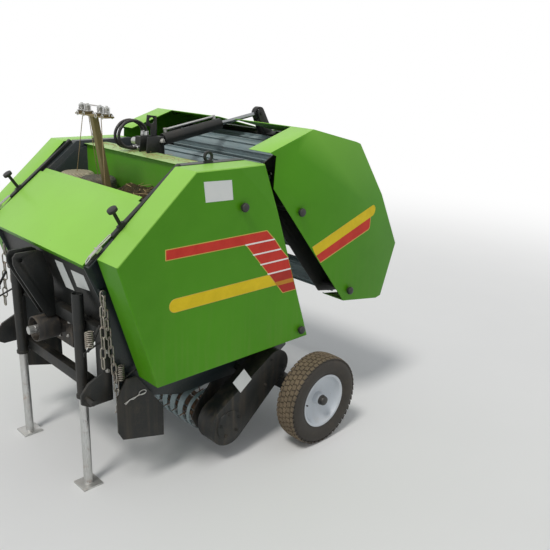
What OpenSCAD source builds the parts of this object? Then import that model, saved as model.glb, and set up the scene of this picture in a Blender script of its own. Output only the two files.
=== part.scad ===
// Mini round baler for a compact tractor.
// X points forward to the tractor, Y to the left, Z up; the floor is Z = 0.
// Every x below is measured forward from the wheel axle, every y from the middle plane.

/* [Chamber sides] */
// Half of the clear width between the chamber side plates
chamber_half = 400; // [390:1:410]
// Thickness of the chamber side plates
plate_t = 6; // [5:0.5:8]
// Width of the rail that stands out along the top edge of a side plate
rail_w = 46; // [44:1:50]
// Thickness of that rail
rail_t = 6; // [4:0.5:8]
// Front edge of the side plates
plate_front_x = 940; // [920:5:950]
// Bottom edge of the side plates
plate_bottom_z = 345; // [335:5:350]
// Place of the corner between the level and the sloping rail
rail_corner_x = 614; // [600:2:630]
// Height of the level rail
rail_top_z = 1346; // [1340:1:1352]
// Lower end of the sloping rail
rail_end_x = 1040; // [1030:2:1050]
// Height of that lower end
rail_end_z = 1010; // [1000:2:1020]

/* [Side covers] */
// Outer face of all side covers
cover_out_y = 580; // [570:1:584]
// Sheet thickness of the covers and the box
sheet_t = 3; // [2:0.5:4]
// Bottom edge of the front cover
cover_bottom_z = 516; // [506:2:530]
// Lower end of the joint between front cover and tailgate
split_low_x = 7; // [0:1:14]
// Upper end of that joint
split_high_x = 301; // [297:1:306]
// Top edge of the front cover
cover_top_z = 1343; // [1336:1:1346]
// Front tip of the cover's bottom edge
cover_tip_x = 843; // [820:5:860]
// Nose of the cover, where the slope begins
cover_nose_x = 1003; // [980:2:1010]
// Height of that nose
cover_nose_z = 1035; // [1010:5:1050]
// Where the slope meets the level top
cover_brow_x = 655; // [640:5:680]
// Gap between the front cover and the closed tailgate, square to the joint
split_gap = 10; // [8:1:12]

/* [Tailgate] */
// How far the tailgate stands open as modelled
gate_rest_angle = 20; // [18:1:22]
// Place of the tailgate hinge
hinge_x = 222; // [219:1:225]
// Height of the tailgate hinge
hinge_z = 1245; // [1242:1:1248]
// Radius of the hinge pins
hinge_pin_r = 15; // [12:1:18]
// Width of the tailgate's square cross tubes
gate_tube = 40; // [34:2:44]
// Side gap between the fixed and the swinging side plates
plate_gap = 5; // [4.5:0.5:6]

/* [Chamber rollers] */
// Middle of the bale chamber
chamber_x = 50; // [48:1:52]
// Height of that middle
chamber_z = 850; // [846:1:852]
// Radius of the circle on which the roller shafts lie
roller_circle_r = 400; // [396:1:404]
// Outer radius of a roller over its ribs
roller_r = 60; // [52:1:62]
// Height of a rib above the drum
roller_rib_h = 8; // [5:1:12]
// Width of a rib
roller_rib_w = 10; // [6:1:14]
// Ribs on one roller
roller_ribs = 10; // [6:1:12]
// Radius of a roller shaft
roller_shaft_r = 12.5; // [10:0.5:14]
// Radius of a bearing housing
bearing_r = 30; // [26:1:34]

/* [Wheels] */
// Outer radius of a tyre
tyre_r = 218; // [214:1:222]
// Width of a tyre
tyre_w = 121; // [112:1:128]
// Outer side of a tyre
tyre_out_y = 717; // [712:1:724]
// Radius of the rim's bead seat
rim_r = 127; // [120:1:134]
// Radius of a wheel spindle
spindle_r = 15; // [12:0.5:18]
// Width of the square axle beam
axle_w = 60; // [50:2:70]

/* [Twine box and hood] */
// Rear wall of the twine box
box_rear_x = 560; // [545:5:570]
// Floor of the twine box
box_floor_z = 960; // [950:2:970]
// Half width of the hood
hood_half = 420; // [414:1:421]
// Distance of the hood's upper edge down the slope from the rail corner
hood_start = 197; // [185:1:210]
// Length of the hood along the slope
hood_len = 349; // [347:1:353]
// Height of the hood's outer face above the sloping rail
hood_rise = 8.8; // [8:0.2:12]
// Radius of the hood's hinge rod
hood_rod_r = 6; // [4:0.5:8]
// Side of the square twine post
post_w = 26; // [20:1:34]

/* [Hitch] */
// Depth of the hitch posts and beams
beam_d = 40; // [36:2:44]
// Bottom of the upper hitch beam
beam_top_z = 690; // [685:1:700]
// Bottom of the lower hitch beam
beam_low_z = 430; // [425:1:450]
// Height of a hitch beam
beam_h = 50; // [46:2:56]
// Height of the lower link pins
link_pin_z = 470; // [465:1:475]
// Reach of the lower link pins
link_pin_x = 1052; // [1046:1:1060]
// Radius of the lower link pins
link_pin_r = 11; // [9:0.5:14]
// Length of a lower link pin
link_pin_len = 50; // [40:1:60]
// Reach of the top link hole
top_hole_x = 1108; // [1100:1:1112]
// Height of the top link hole
top_hole_z = 950; // [940:1:960]
// Radius of the top link hole
top_hole_r = 9.6; // [8:0.1:13]
// Foremost face of the mast ears
mast_front_x = 1140; // [1136:1:1150]
// Gap between the mast ears
mast_gap = 48; // [44:1:56]
// Thickness of a mast ear
mast_t = 10; // [8:1:14]

/* [Parking legs] */
// Middle of a parking leg ahead of the axle
leg_y = 281; // [270:1:290]
// Outer radius of the sleeve
sleeve_r = 23; // [21:0.5:24]
// Wall of the sleeve
sleeve_t = 4; // [3:0.5:5]
// Lower end of the sleeve
sleeve_low_z = 425; // [420:5:430]
// Upper end of the sleeve
sleeve_high_z = 861; // [850:1:870]
// Play between leg and sleeve all round
leg_play = 0.5; // [0.3:0.1:1]
// Upper end of the leg when it stands on the floor
leg_top_z = 640; // [600:5:645]
// Side of the leg's square foot
foot_w = 90; // [70:2:110]
// Thickness of the foot
foot_t = 8; // [6:1:12]

/* [Pickup] */
// Place of the reel shaft
reel_x = 450; // [445:1:455]
// Height of the reel shaft
reel_z = 190; // [185:1:200]
// Radius of the tine tips
tine_tip_r = 115; // [108:1:120]
// Radius of a tine's wire
tine_r = 2.5; // [2:0.25:4]
// Distance between tine columns
tine_pitch = 60; // [56:1:62]
// Tine columns
tine_columns = 12; // [10:1:12]
// Outer radius of the stripper bands
band_r = 92; // [88:1:96]
// Width of a stripper band
band_w = 36; // [28:1:42]
// Thickness of a stripper band
band_t = 2.5; // [2:0.25:4]
// Radius of the reel shaft
reel_shaft_r = 15; // [12:0.5:18]
// Side gap between the pickup's end plates and the chamber side plates
pickup_gap = 10; // [8:1:12]
// Thickness of those end plates
pickup_plate_t = 6; // [4:0.5:8]
// Outer face of the drive cover
drive_cover_y = 546; // [530:2:556]

/* [Drive] */
// Height of the input shaft
input_z = 635; // [630:1:640]
// Radius of the input shaft
input_r = 17.5; // [15:0.5:20]
// Length of the gearbox
gearbox_len = 140; // [120:5:160]
// Half width of the gearbox
gearbox_half = 90; // [80:2:110]
// Height of the gearbox
gearbox_h = 180; // [160:5:180]
// Radius of the guard round the input shaft
guard_r = 54; // [48:1:54]

/* [Lift cylinder] */
// Place of the barrel's pin
barrel_pin_x = 433; // [430:1:436]
// Height of the barrel's pin
barrel_pin_z = 1379; // [1376:1:1382]
// Outer radius of the barrel
barrel_r = 26; // [24:1:30]
// Length of the barrel from its pin
barrel_len = 363; // [350:1:370]
// Radius of the rod
rod_r = 10; // [9:0.5:13]
// Place of the horn's pin with the tailgate closed
horn_pin_x = -231; // [-234:1:-228]
// Height of that pin
horn_pin_z = 1338; // [1335:1:1341]
// Radius of the horn's pin
horn_pin_r = 9; // [8:0.5:10]
// Radius of the rod eye's hole
rod_eye_r = 22; // [21:0.5:23]

/* [Hidden] */
$fn = 48;
left = 1;
right = -1;
fit = 0.05;
seat = 0.3;
front_rollers = 5;
gate_rollers = 8;

// The joint between front half and tailgate, as a straight line
split_slope = (split_high_x - split_low_x) / (cover_top_z - cover_bottom_z);
function split_x(z) = split_low_x + (z - cover_bottom_z) * split_slope;
split_back = split_gap / cos(atan(split_slope));
plate_in = chamber_half;
plate_out = chamber_half + plate_t;
rail_out = chamber_half + rail_w;
gate_plate_in = plate_out + plate_gap;
gate_plate_out = gate_plate_in + plate_t;
pickup_half = plate_in - pickup_gap - pickup_plate_t;
beam_front_x = plate_front_x + beam_d;

// Outline of the fixed side plate, anticlockwise in X and Z
plate_rear_low_z = 400;
plate_knee_x = 60;
plate_chin_x = 620;
plate_jaw = [900, 430];
plate_brow_z = 560;
plate_nose_z = 770;
split_set = 4;
side_outline = [
    [split_x(plate_rear_low_z) + split_set, plate_rear_low_z],
    [plate_knee_x, plate_bottom_z],
    [plate_chin_x, plate_bottom_z],
    plate_jaw,
    [plate_front_x, plate_brow_z],
    [plate_front_x, plate_nose_z],
    [rail_end_x, rail_end_z],
    [rail_corner_x, rail_top_z],
    [split_x(rail_top_z) + split_set, rail_top_z]];
rail_path = [side_outline[6], side_outline[7], side_outline[8]];

cover_outline = [
    [split_low_x, cover_bottom_z],
    [cover_tip_x, cover_bottom_z],
    [cover_nose_x, cover_nose_z],
    [cover_brow_x, cover_top_z],
    [split_high_x, cover_top_z]];

// Outline of the closed tailgate cover: the notch above the hinge lets it swing past the front cover
gate_chin = [-236, 382];
gate_heel = [-273, 376];
gate_back = [[-450, 596], [-402, 901], [-307, 1210], [-282, 1230]];
gate_crown = [-32, 1393];
gate_peak = [231, 1400];
gate_notch = [[203, 1373], [243, 1284]];
gate_low_z = 512;
gate_neck_z = 1250;
gate_outline = concat(
    [gate_chin,
     [split_x(gate_low_z) - split_back, gate_low_z],
     [split_x(gate_neck_z) - split_back, gate_neck_z]],
    [gate_notch[1], gate_notch[0], gate_peak, gate_crown],
    [gate_back[3], gate_back[2], gate_back[1], gate_back[0]],
    [gate_heel]);

// The plate behind that cover follows it, set in, and rises over the upper cross tube
gate_plate_set = 8;
gate_tube_at = [-248, 1210];
gate_tube_low = [-262, 430];
gate_ear_r = 36;
gate_plate_outline = concat(
    [gate_chin + [4, gate_plate_set],
     [split_x(gate_low_z) - split_back, gate_low_z + gate_plate_set],
     [split_x(gate_neck_z) - split_back - gate_plate_set, gate_neck_z]],
    [[hinge_x - 30, hinge_z + 40], [gate_crown[0], gate_crown[1] - 70]],
    [gate_tube_at + [gate_tube / 2 + 4, gate_tube / 2 + 6],
     gate_tube_at + [-gate_tube / 2 - 2, gate_tube / 2 - 6]],
    [gate_back[2] + [gate_plate_set, -20], gate_back[1] + [gate_plate_set, 0],
     gate_back[0] + [gate_plate_set, 0], gate_heel + [0, gate_plate_set]]);

// Angles of the rollers round the chamber
front_roller_angles = [50, 26, 2, -22, -82];
gate_roller_first = 74;
gate_roller_step = 24;
function on_circle(a) = [chamber_x + roller_circle_r * cos(a), chamber_z + roller_circle_r * sin(a)];
front_roller_at = [for (a = front_roller_angles) on_circle(a)];
gate_roller_at = [for (i = [0 : gate_rollers - 1]) on_circle(gate_roller_first + i * gate_roller_step)];

// Everything is shifted so that the origin lies under the middle of the length
function gate_turn(p) = [
    hinge_x + (p[0] - hinge_x) * cos(gate_rest_angle) + (p[1] - hinge_z) * sin(gate_rest_angle),
    hinge_z - (p[0] - hinge_x) * sin(gate_rest_angle) + (p[1] - hinge_z) * cos(gate_rest_angle)];
rear_x = gate_turn(gate_back[0])[0];
mid_x = (mast_front_x + rear_x) / 2;

// Slope of the rail and of the hood on it
slope_run = rail_end_x - rail_corner_x;
slope_fall = rail_top_z - rail_end_z;
slope_angle = atan(slope_fall / slope_run);
function on_slope(along, above) = [
    rail_corner_x + along * cos(slope_angle) + above * sin(slope_angle),
    rail_top_z - along * sin(slope_angle) + above * cos(slope_angle)];

function unit(v) = v / norm(v);
function left_of(v) = [-v[1], v[0]];
function corner_in(a, b, c, t) =
    let (n1 = left_of(unit(b - a)), n2 = left_of(unit(c - b)), m = unit(n1 + n2)) b + m * t / (m * n1);
function inset(p, t) = [for (i = [0 : len(p) - 1])
    corner_in(p[(i + len(p) - 1) % len(p)], p[i], p[(i + 1) % len(p)], t)];
function strip(p, t) = concat(p, [p[2] + t * left_of(unit(p[2] - p[1])),
    corner_in(p[0], p[1], p[2], t), p[0] + t * left_of(unit(p[1] - p[0]))]);

module placed() translate([-mid_x, 0, 0]) children();
module on_side(side) mirror([0, side < 0 ? 1 : 0, 0]) children();
module both_sides() for (side = [left, right]) on_side(side) children();
module gate_pose()
    translate([hinge_x, 0, hinge_z]) rotate([0, gate_rest_angle, 0]) translate([-hinge_x, 0, -hinge_z]) children();

// A flat profile in X and Z, given a thickness from y0 to y1
module slab(y0, y1) translate([0, y1, 0]) rotate([90, 0, 0]) linear_extrude(y1 - y0) children();
module plate(points, y0, y1) slab(y0, y1) polygon(points);
// A round bar along Y through a point in X and Z
module bar(p, r, y0, y1) translate([p[0], y0, p[1]]) rotate([-90, 0, 0]) cylinder(h = y1 - y0, r = r);
module block(x0, x1, y0, y1, z0, z1) translate([x0, y0, z0]) cube([x1 - x0, y1 - y0, z1 - z0]);
// A straight round bar between two points in space
module link(a, b, r) {
    d = b - a;
    translate(a) rotate([0, acos(d[2] / norm(d)), atan2(d[1], d[0])]) cylinder(h = norm(d), r = r);
}
module capsule(p, rp, q, rq) {
    d = norm(q - p);
    turn = atan2(q[1] - p[1], q[0] - p[0]);
    a = acos((rp - rq) / d);
    translate(p) circle(r = rp);
    translate(q) circle(r = rq);
    function rim(c, r, angle) = c + (r - 0.05) * [cos(angle), sin(angle)];
    polygon([rim(p, rp, turn + a), rim(q, rq, turn + a), rim(q, rq, turn - a), rim(p, rp, turn - a)]);
}
module soft_box(w, h, r) {
    for (x = [-1, 1], y = [-1, 1]) translate([x * (w / 2 - r), y * (h / 2 - r)]) circle(r = r);
    square([w - 2 * r, h], center = true);
    square([w, h - 2 * r], center = true);
}
module tray(outline, y0, y1, t) difference() {
    plate(outline, y0, y1);
    plate(inset(outline, t), y0 - 1, y1 - t);
}

// Posts that reach from the side plates to the covers, one behind each knob
cover_post_r = 10;
front_posts = [[425, 1183], [61, 561]];
gate_posts = [[145, 1085], [-51, 547], [-390, 640]];

bearing_len = 22;
shaft_over = 4;
module bearings(places, y0) {
    for (p = places) bar(p, bearing_r, y0, y0 + bearing_len);
}

hinge_ear_r = 25;
hinge_head_r = 22;
hinge_head_t = 6;
module side_plate(side) on_side(side) color("#25282a") {
    difference() {
        union() {
            plate(side_outline, plate_in, plate_out);
            plate(strip(rail_path, rail_t), plate_in, rail_out);
            slab(plate_in, plate_out) capsule([hinge_x, hinge_z], hinge_ear_r,
                [split_x(hinge_z) + 60, hinge_z + 10], hinge_ear_r);
            bearings(front_roller_at, plate_out);
        }
        for (p = front_roller_at) bar(p, roller_shaft_r + fit, plate_in - 1, rail_out);
    }
    for (p = front_posts) bar(p, cover_post_r, plate_out - 1, cover_out_y - sheet_t);
    bar(chain_top, chain_pin_r, plate_out - 1, chain_y + 15);
    bar(chain_top, chain_pin_r + 4, chain_y + 15, rail_out - 1);
    bar([hinge_x, hinge_z], hinge_pin_r, plate_out - 1, gate_plate_out + plate_gap);
    bar([hinge_x, hinge_z], hinge_head_r, gate_plate_out + plate_gap, gate_plate_out + plate_gap + hinge_head_t);
}

// A ribbed roller between its two shaft ends; the ends reach into the bearings of the plate at y_plate
roller_end_gap = 5;
roller_disc_t = 6;
roller_wall = 3;
roller_hole_r = 12;
module roller(p, y_plate) {
    half = plate_in - roller_end_gap;
    drum_r = roller_r - roller_rib_h;
    color("#6f7b80") {
        difference() {
            union() {
                bar(p, drum_r, -half, half);
                translate([p[0], 0, p[1]]) for (i = [0 : roller_ribs - 1]) rotate([0, i * 360 / roller_ribs, 0])
                    translate([drum_r - roller_wall / 2, -half, -roller_rib_w / 2])
                        cube([roller_rib_h + roller_wall / 2 - 0.3, 2 * half, roller_rib_w]);
            }
            bar(p, drum_r - roller_wall, -half + roller_disc_t, half - roller_disc_t);
            for (a = [0 : 90 : 270]) bar(p + drum_r * 0.6 * [cos(a), sin(a)], roller_hole_r, -half - 1, half + 1);
        }
        bar(p, roller_shaft_r, -y_plate - bearing_len - shaft_over, y_plate + bearing_len + shaft_over);
    }
}
module front_roller(i) roller(front_roller_at[i - 1], plate_out);
module gate_roller(i) gate_pose() roller(gate_roller_at[i - 1], gate_plate_out);

// Axle beam with its two uprights and the wheel spindles
upright_t = 10;
tyre_mid = tyre_out_y - tyre_w / 2;
hub_in = 46;
hub_out = 34;
hub_gap = 35.5;
spindle_short = 3.5;
axle_half = tyre_mid - hub_in - hub_gap;
spindle_len = tyre_mid + hub_out - spindle_short - axle_half;
upright_outline = [[-30, 236], [30, 190], [150, plate_bottom_z], [150, 410], [60, 410], [24, 380]];
module axle() color("#25282a") {
    difference() {
        block(-axle_w / 2, axle_w / 2, -axle_half, axle_half, tyre_r - axle_w / 2, tyre_r + axle_w / 2);
        block(-axle_w / 2 + 5, axle_w / 2 - 5, -axle_half - 1, axle_half - 12,
            tyre_r - axle_w / 2 + 5, tyre_r + axle_w / 2 - 5);
    }
    block(-axle_w / 2, axle_w / 2, -axle_half, -axle_half + 12, tyre_r - axle_w / 2, tyre_r + axle_w / 2);
    both_sides() {
        plate(upright_outline, plate_out, plate_out + upright_t);
        bar([0, tyre_r], spindle_r, axle_half, axle_half + spindle_len);
    }
}

// Three-point hitch: posts with the lower pins, cross beams, mast ears and leg sleeves
post_depth = 50;
post_in = plate_out - post_depth;
pin_cheek_t = 12;
module hitch_posts() color("#1f2123") both_sides() {
    block(plate_front_x, beam_front_x, post_in, plate_out, beam_low_z, beam_top_z + beam_h);
    slab(plate_out - pin_cheek_t, plate_out) polygon([
        [beam_front_x - 1, beam_low_z], [link_pin_x - 10, beam_low_z], [link_pin_x + 24, link_pin_z - 20],
        [link_pin_x + 24, link_pin_z + 20], [link_pin_x - 10, link_pin_z + 60], [beam_front_x - 1, link_pin_z + 90]]);
    bar([link_pin_x, link_pin_z], link_pin_r, plate_out - 1, plate_out + link_pin_len);
}
module hitch_beams() color("#1f2123") for (z = [beam_low_z, beam_top_z])
    block(plate_front_x, beam_front_x, -post_in, post_in, z, z + beam_h);
module top_mast() color("#1f2123") difference() {
    both_sides() slab(mast_gap / 2, mast_gap / 2 + mast_t) polygon([
        [beam_front_x, beam_top_z], [beam_front_x + 40, beam_top_z], [top_hole_x + 20, top_hole_z - 45],
        [mast_front_x, top_hole_z - 12], [mast_front_x, top_hole_z + 16], [top_hole_x + 18, top_hole_z + 32],
        [beam_front_x + 54, top_hole_z + 32], [beam_front_x + 38, top_hole_z + 22], [beam_front_x + 8, 878],
        [beam_front_x, 850]]);
    bar([top_hole_x, top_hole_z], top_hole_r, -mast_gap, mast_gap);
}
leg_x = beam_front_x + sleeve_r + 2;
sleeve_collar_h = 12;
sleeve_collar_r = sleeve_r + 4;
module leg_sleeves() color("#1f2123") both_sides() difference() {
    union() {
        translate([leg_x, leg_y, sleeve_low_z]) cylinder(h = sleeve_high_z - sleeve_low_z, r = sleeve_r);
        translate([leg_x, leg_y, sleeve_low_z - sleeve_collar_h]) cylinder(h = sleeve_collar_h + 1, r = sleeve_collar_r);
        for (z = [beam_low_z, beam_top_z]) block(beam_front_x, leg_x, leg_y - 12, leg_y + 12, z + 10, z + beam_h - 10);
    }
    translate([leg_x, leg_y, sleeve_low_z - 20]) cylinder(h = sleeve_high_z, r = sleeve_r - sleeve_t);
}
leg_r = sleeve_r - sleeve_t - leg_play;
leg_wall = 3.5;
module leg(side) on_side(side) color("#9fa3a4") translate([leg_x, leg_y, 0]) {
    translate([-foot_w / 2, -foot_w / 2, 0]) cube([foot_w, foot_w, foot_t]);
    difference() {
        translate([0, 0, foot_t - 1]) cylinder(h = leg_top_z - foot_t + 1, r = leg_r);
        translate([0, 0, foot_t]) cylinder(h = leg_top_z, r = leg_r - leg_wall);
    }
}

// Front sheet: upright below, then leaning forward to the hood's lower edge
front_plate_t = 4;
front_bend_z = 787;
front_top = [1019, 1009.5];
module front_plate() color("#1c1e20") plate([[plate_front_x, beam_top_z + beam_h],
    [plate_front_x + front_plate_t, beam_top_z + beam_h], [plate_front_x + front_plate_t, front_bend_z],
    front_top, front_top + [-3.8, 1.3], [plate_front_x, front_bend_z + 1.3]], -plate_in, plate_in);

chain_y = 428;
// Outer cheek with the loop for the chain, on spacers beside each side plate
cheek_y = 446;
cheek_t = 8;
cheek_outline = [[735, 210], [930, 262], [950, 300], [950, 452], [905, 525], [860, 525], [735, 350]];
chain_pin = [930, 440];
module link_cheeks() color("#1f2123") both_sides() {
    plate(cheek_outline, cheek_y, cheek_y + cheek_t);
    for (p = [[885, 490], [860, 455]]) bar(p, 14, plate_out, cheek_y + 1);
    bar(chain_pin, chain_pin_r, chain_y - 13, cheek_y + 1);
}

// Flat-sided chain links from the ear down to the cheek's pin
chain_wire = 7;
link_w = 26;
chain_links = 13;
chain_top = [plate_front_x + 40, 900];
chain_pin_r = 5;
chain_slack = 0.5;
chain_span = norm(chain_top - chain_pin);
link_inner = (chain_span + 2 * (chain_pin_r + chain_slack) + chain_slack * (chain_links - 1)) / chain_links;
link_len = link_inner + 2 * chain_wire;
module chain_link() difference() {
    soft_box(link_w, link_len, link_w / 2 - 0.5);
    soft_box(link_w - 2 * chain_wire, link_len - 2 * chain_wire, link_w / 2 - chain_wire - 0.5);
}
module hanging_chains() color("#8d8f8c") both_sides() {
    lean = atan2(chain_top[0] - chain_pin[0], chain_top[1] - chain_pin[1]);
    translate([chain_pin[0], chain_y, chain_pin[1]]) rotate([0, lean, 0])
        for (i = [0 : chain_links - 1])
            translate([0, 0, link_inner / 2 - chain_pin_r - chain_slack + i * (link_inner - chain_slack)])
                rotate([0, 0, i % 2 * 90]) rotate([90, 0, 0])
                    translate([0, 0, -chain_wire / 2]) linear_extrude(chain_wire) chain_link();
}

// The covers have no wall where they meet, so the joint is open to the inside
lip = 8;
module joint_cut(outline) plate(outline, rail_out - 1, cover_out_y - sheet_t);
module cover_front(side) on_side(side) color("#4f8f2a") difference() {
    tray(cover_outline, rail_out, cover_out_y, sheet_t);
    joint_cut([for (p = [[-lip, cover_bottom_z + sheet_t], [lip, cover_bottom_z + sheet_t],
        [lip, cover_top_z - sheet_t], [-lip, cover_top_z - sheet_t]]) [split_x(p[1]) + p[0], p[1]]]);
}
module cover_gate(side) gate_pose() on_side(side) color("#4f8f2a") difference() {
    tray(gate_outline, rail_out, cover_out_y, sheet_t);
    joint_cut([[split_x(520) - split_back - lip, 517.5], [split_x(524) - split_back + lip, 524],
        [split_x(gate_neck_z) - split_back + lip, gate_neck_z], [gate_peak[0] + 31, gate_peak[1] - 3.6],
        [gate_notch[0][0] + 13, gate_peak[1] - 3.6], [gate_notch[0][0] - 11, gate_notch[0][1] + 1],
        [gate_notch[1][0] - 10, gate_notch[1][1] - 2], [split_x(1240) - split_back - lip, 1240]]);
}

// Box for the twine balls behind the hood
box_front_x = plate_front_x - front_plate_t;
end_drop = 32;
function under_slope(x) = rail_top_z - (x - rail_corner_x) * tan(slope_angle) - end_drop;
top_plate_z = 1330;
top_plate_rear_x = 455;
module twine_box() color("#4f8f2a") {
    block(box_rear_x, box_front_x, -plate_in, plate_in, box_floor_z - sheet_t, box_floor_z);
    block(box_rear_x, box_rear_x + sheet_t, -plate_in, plate_in, box_floor_z - sheet_t, top_plate_z);
    block(box_front_x - sheet_t, box_front_x, -plate_in, plate_in, box_floor_z - sheet_t, box_floor_z + 40);
    block(top_plate_rear_x, box_rear_x + 15, -plate_in, plate_in, top_plate_z, top_plate_z + sheet_t);
    both_sides() plate([[box_rear_x, box_floor_z - sheet_t], [box_front_x, box_floor_z - sheet_t],
        [box_front_x, under_slope(box_front_x)], [box_rear_x + 70, under_slope(box_rear_x + 70)],
        [box_rear_x, top_plate_z - 8]], plate_in - sheet_t, plate_in);
}

// Cross beam that carries the barrel's bracket
top_beam_x = 440;
top_beam_w = 60;
bracket_gap = 48;
bracket_t = 8;
lug_hole = [443, 1467];
lug_hole_r = 14;
module top_beam() color("#1f2123") {
    block(top_beam_x, top_beam_x + top_beam_w, -plate_in, plate_in, top_plate_z - 50, top_plate_z);
    both_sides() plate([[top_beam_x - 24, top_plate_z - 30], [top_beam_x, top_plate_z - 50],
        [top_beam_x + 1, top_plate_z - 3], [top_beam_x + 8, top_plate_z + sheet_t + seat],
        [top_beam_x + 70, top_plate_z + sheet_t + seat],
        [top_beam_x + 62, barrel_pin_z + 24], [top_beam_x - 22, barrel_pin_z + 24]],
        bracket_gap / 2, bracket_gap / 2 + bracket_t);
    difference() {
        plate([[418, 1395], [446, 1395], [450, 1440], [472, 1446], [464, 1492], [417, 1486], [416, 1440]],
            -bracket_gap / 2 - bracket_t, -bracket_gap / 2);
        bar(lug_hole, lug_hole_r, -bracket_gap, 0);
    }
    bar([barrel_pin_x, barrel_pin_z], 10, -bracket_gap / 2 - bracket_t - 8, bracket_gap / 2 + bracket_t + 8);
}

// Lid between the rails, on a rod under its upper edge
hood_rod = on_slope(hood_start + 8, -8);
knuckle_r = 10;
knuckle_w = 60;
hood_edge = 8.3;
module on_hood(y0, y1, a0, a1, h0, h1)
    plate([on_slope(a0, h0), on_slope(a1, h0), on_slope(a1, h1), on_slope(a0, h1)], y0, y1);
module hood() color("#86d04f") difference() {
    union() {
        on_hood(-plate_in + 4, plate_in - 4, hood_start, hood_start + 24, hood_rise - sheet_t, hood_rise);
        on_hood(-hood_half, hood_half, hood_start + 23, hood_start + hood_len, hood_rise - sheet_t, hood_rise);
        both_sides() on_hood(hood_half - sheet_t, hood_half, hood_start + 23, hood_start + hood_len - 6,
            hood_rise - hood_edge, hood_rise);
        on_hood(-hood_half, hood_half, hood_start + hood_len - sheet_t, hood_start + hood_len,
            hood_rise - hood_edge, hood_rise);
        on_hood(-plate_in + 4, plate_in - 4, hood_start + hood_len - sheet_t, hood_start + hood_len, -22, hood_rise - 1);
        for (y = [-300, 0, 300]) {
            bar(hood_rod, knuckle_r, y - knuckle_w / 2, y + knuckle_w / 2);
            on_hood(y - knuckle_w / 2, y + knuckle_w / 2, hood_start + 2, hood_start + 16, -6, hood_rise - 1);
        }
    }
    bar(hood_rod, hood_rod_r + fit, -plate_in, plate_in);
}

// Post of the twine brake, leaning forward over the box
post_low = [650, box_floor_z];
post_high = [738, 1500];
module twine_post() color("#8a7a55") {
    d = post_high - post_low;
    lean = atan2(d[0], d[1]);
    difference() {
        translate([post_low[0], 0, post_low[1] - 20]) rotate([0, lean, 0])
            translate([-post_w / 2, -post_w / 2, 0]) cube([post_w, post_w, norm(d) + 20]);
        block(post_low[0] - 60, post_low[0] + 60, -60, 60, post_low[1] - 60, post_low[1]);
    }
    block(post_low[0] - 40, post_low[0] + 40, -40, 40, box_floor_z, box_floor_z + 5);
    block(post_high[0] - 22, post_high[0] + 22, -120, 120, post_high[1] - 3, post_high[1] + 3);
    for (y = [-100, -50, 50, 100]) translate([post_high[0], y, post_high[1]]) {
        cylinder(h = 44, r = 5);
        translate([0, 0, 4]) cylinder(h = 4, r1 = 16, r2 = 20);
        translate([0, 0, 8.5]) cylinder(h = 4, r1 = 20, r2 = 16);
        translate([0, 0, 12]) cylinder(h = 22, r = 9);
    }
}

ball_r = 80;
ball_h = 260;
ball_soft = 24;
ball_at = [[655, -140], [668, -308]];
module twine_balls() color("#8d7c62") for (p = ball_at) translate([p[0], p[1], box_floor_z + seat])
    rotate_extrude() intersection() {
        translate([0, ball_h / 2]) soft_box(2 * ball_r, ball_h, ball_soft);
        translate([0, -1]) square([ball_r + 1, ball_h + 2]);
    }

// Two strands from the balls and one spare strand down to the floor of the box
strand_r = 1.6;
strand_end = [post_high[0] - 2, post_high[1] - 5.5];
strand_from = [[ball_at[0][0], ball_at[0][1], box_floor_z + ball_h + 1.3],
    [ball_at[1][0], ball_at[1][1], box_floor_z + ball_h + 1.7], [716, 30, box_floor_z + 0.4]];
strand_y = [-50, -100, 50];
module twine_strands() color("#c9b27a") for (i = [0 : 2])
    link(strand_from[i], [strand_end[0], strand_y[i], strand_end[1]], strand_r);

// Knob levers, hood catches and the hood's hinge rod, all on the rails
lever_along = 344;
lever_y = 436;
lever_head_y = 448;
lever_head_r = 20;
catch_along = 470;
rail_bar_in = 425.5;
rail_bar_h = 16;
ring_at = [487, 1369];
ring_y = 430;
ring_r = 22;
ring_hole_r = 13;
module rail_fittings() color("#26282a") {
    bar(hood_rod, hood_rod_r, -plate_in, plate_in);
    both_sides() {
        foot = on_slope(lever_along, rail_bar_h + 6);
        head = on_slope(lever_along, 0) + [50, 76];
        on_hood(rail_bar_in, rail_out, 12, 400, 0.02, rail_bar_h);
        on_hood(lever_y - 8, lever_y + 8, lever_along - 16, lever_along + 16, rail_bar_h - 1, rail_bar_h + 6);
        link([foot[0], lever_y, foot[1]], [head[0], lever_head_y, head[1]], 7);
        translate([head[0], lever_head_y, head[1]]) rotate([0, 34, 0]) cylinder(h = 12, r = lever_head_r, center = true);
        on_hood(lever_y - 6, lever_y + 6, catch_along, catch_along + 66, 0.02, 5);
        on_hood(lever_y - 6, lever_y + 6, catch_along + 4, catch_along + 40, 4, 14);
        difference() {
            union() {
                bar(ring_at, ring_r, ring_y, ring_y + 10);
                block(ring_at[0] - 18, ring_at[0] + 18, ring_y - 4, ring_y + 14, rail_top_z + 0.02, rail_top_z + 6);
            }
            bar(ring_at, ring_hole_r, ring_y - 1, ring_y + 11);
        }
    }
}

// Two slack hose loops in front of the valve block, each held at both ends
hose_r = 7;
hose_sides = 10;
hose_steps = 3;
hose_gap = 30;
hose_route = [[446, 1392.2], [446, 1400], [446, 1410], [454, 1432], [474, 1453], [512, 1466], [556, 1456], [584, 1424], [588, 1388],
    [566, 1358], [530, 1346], [500, 1346], [482, 1346], [476.2, 1346]];
function blend(p, i, u) = let (a = p[max(i - 1, 0)], b = p[i], c = p[i + 1], d = p[min(i + 2, len(p) - 1)])
    0.5 * ((2 * b) + (c - a) * u + (2 * a - 5 * b + 4 * c - d) * u * u + (3 * b - a - 3 * c + d) * u * u * u);
hose_line = concat([for (i = [0 : len(hose_route) - 2], k = [0 : hose_steps - 1]) blend(hose_route, i, k / hose_steps)],
    [hose_route[len(hose_route) - 1]]);
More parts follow.
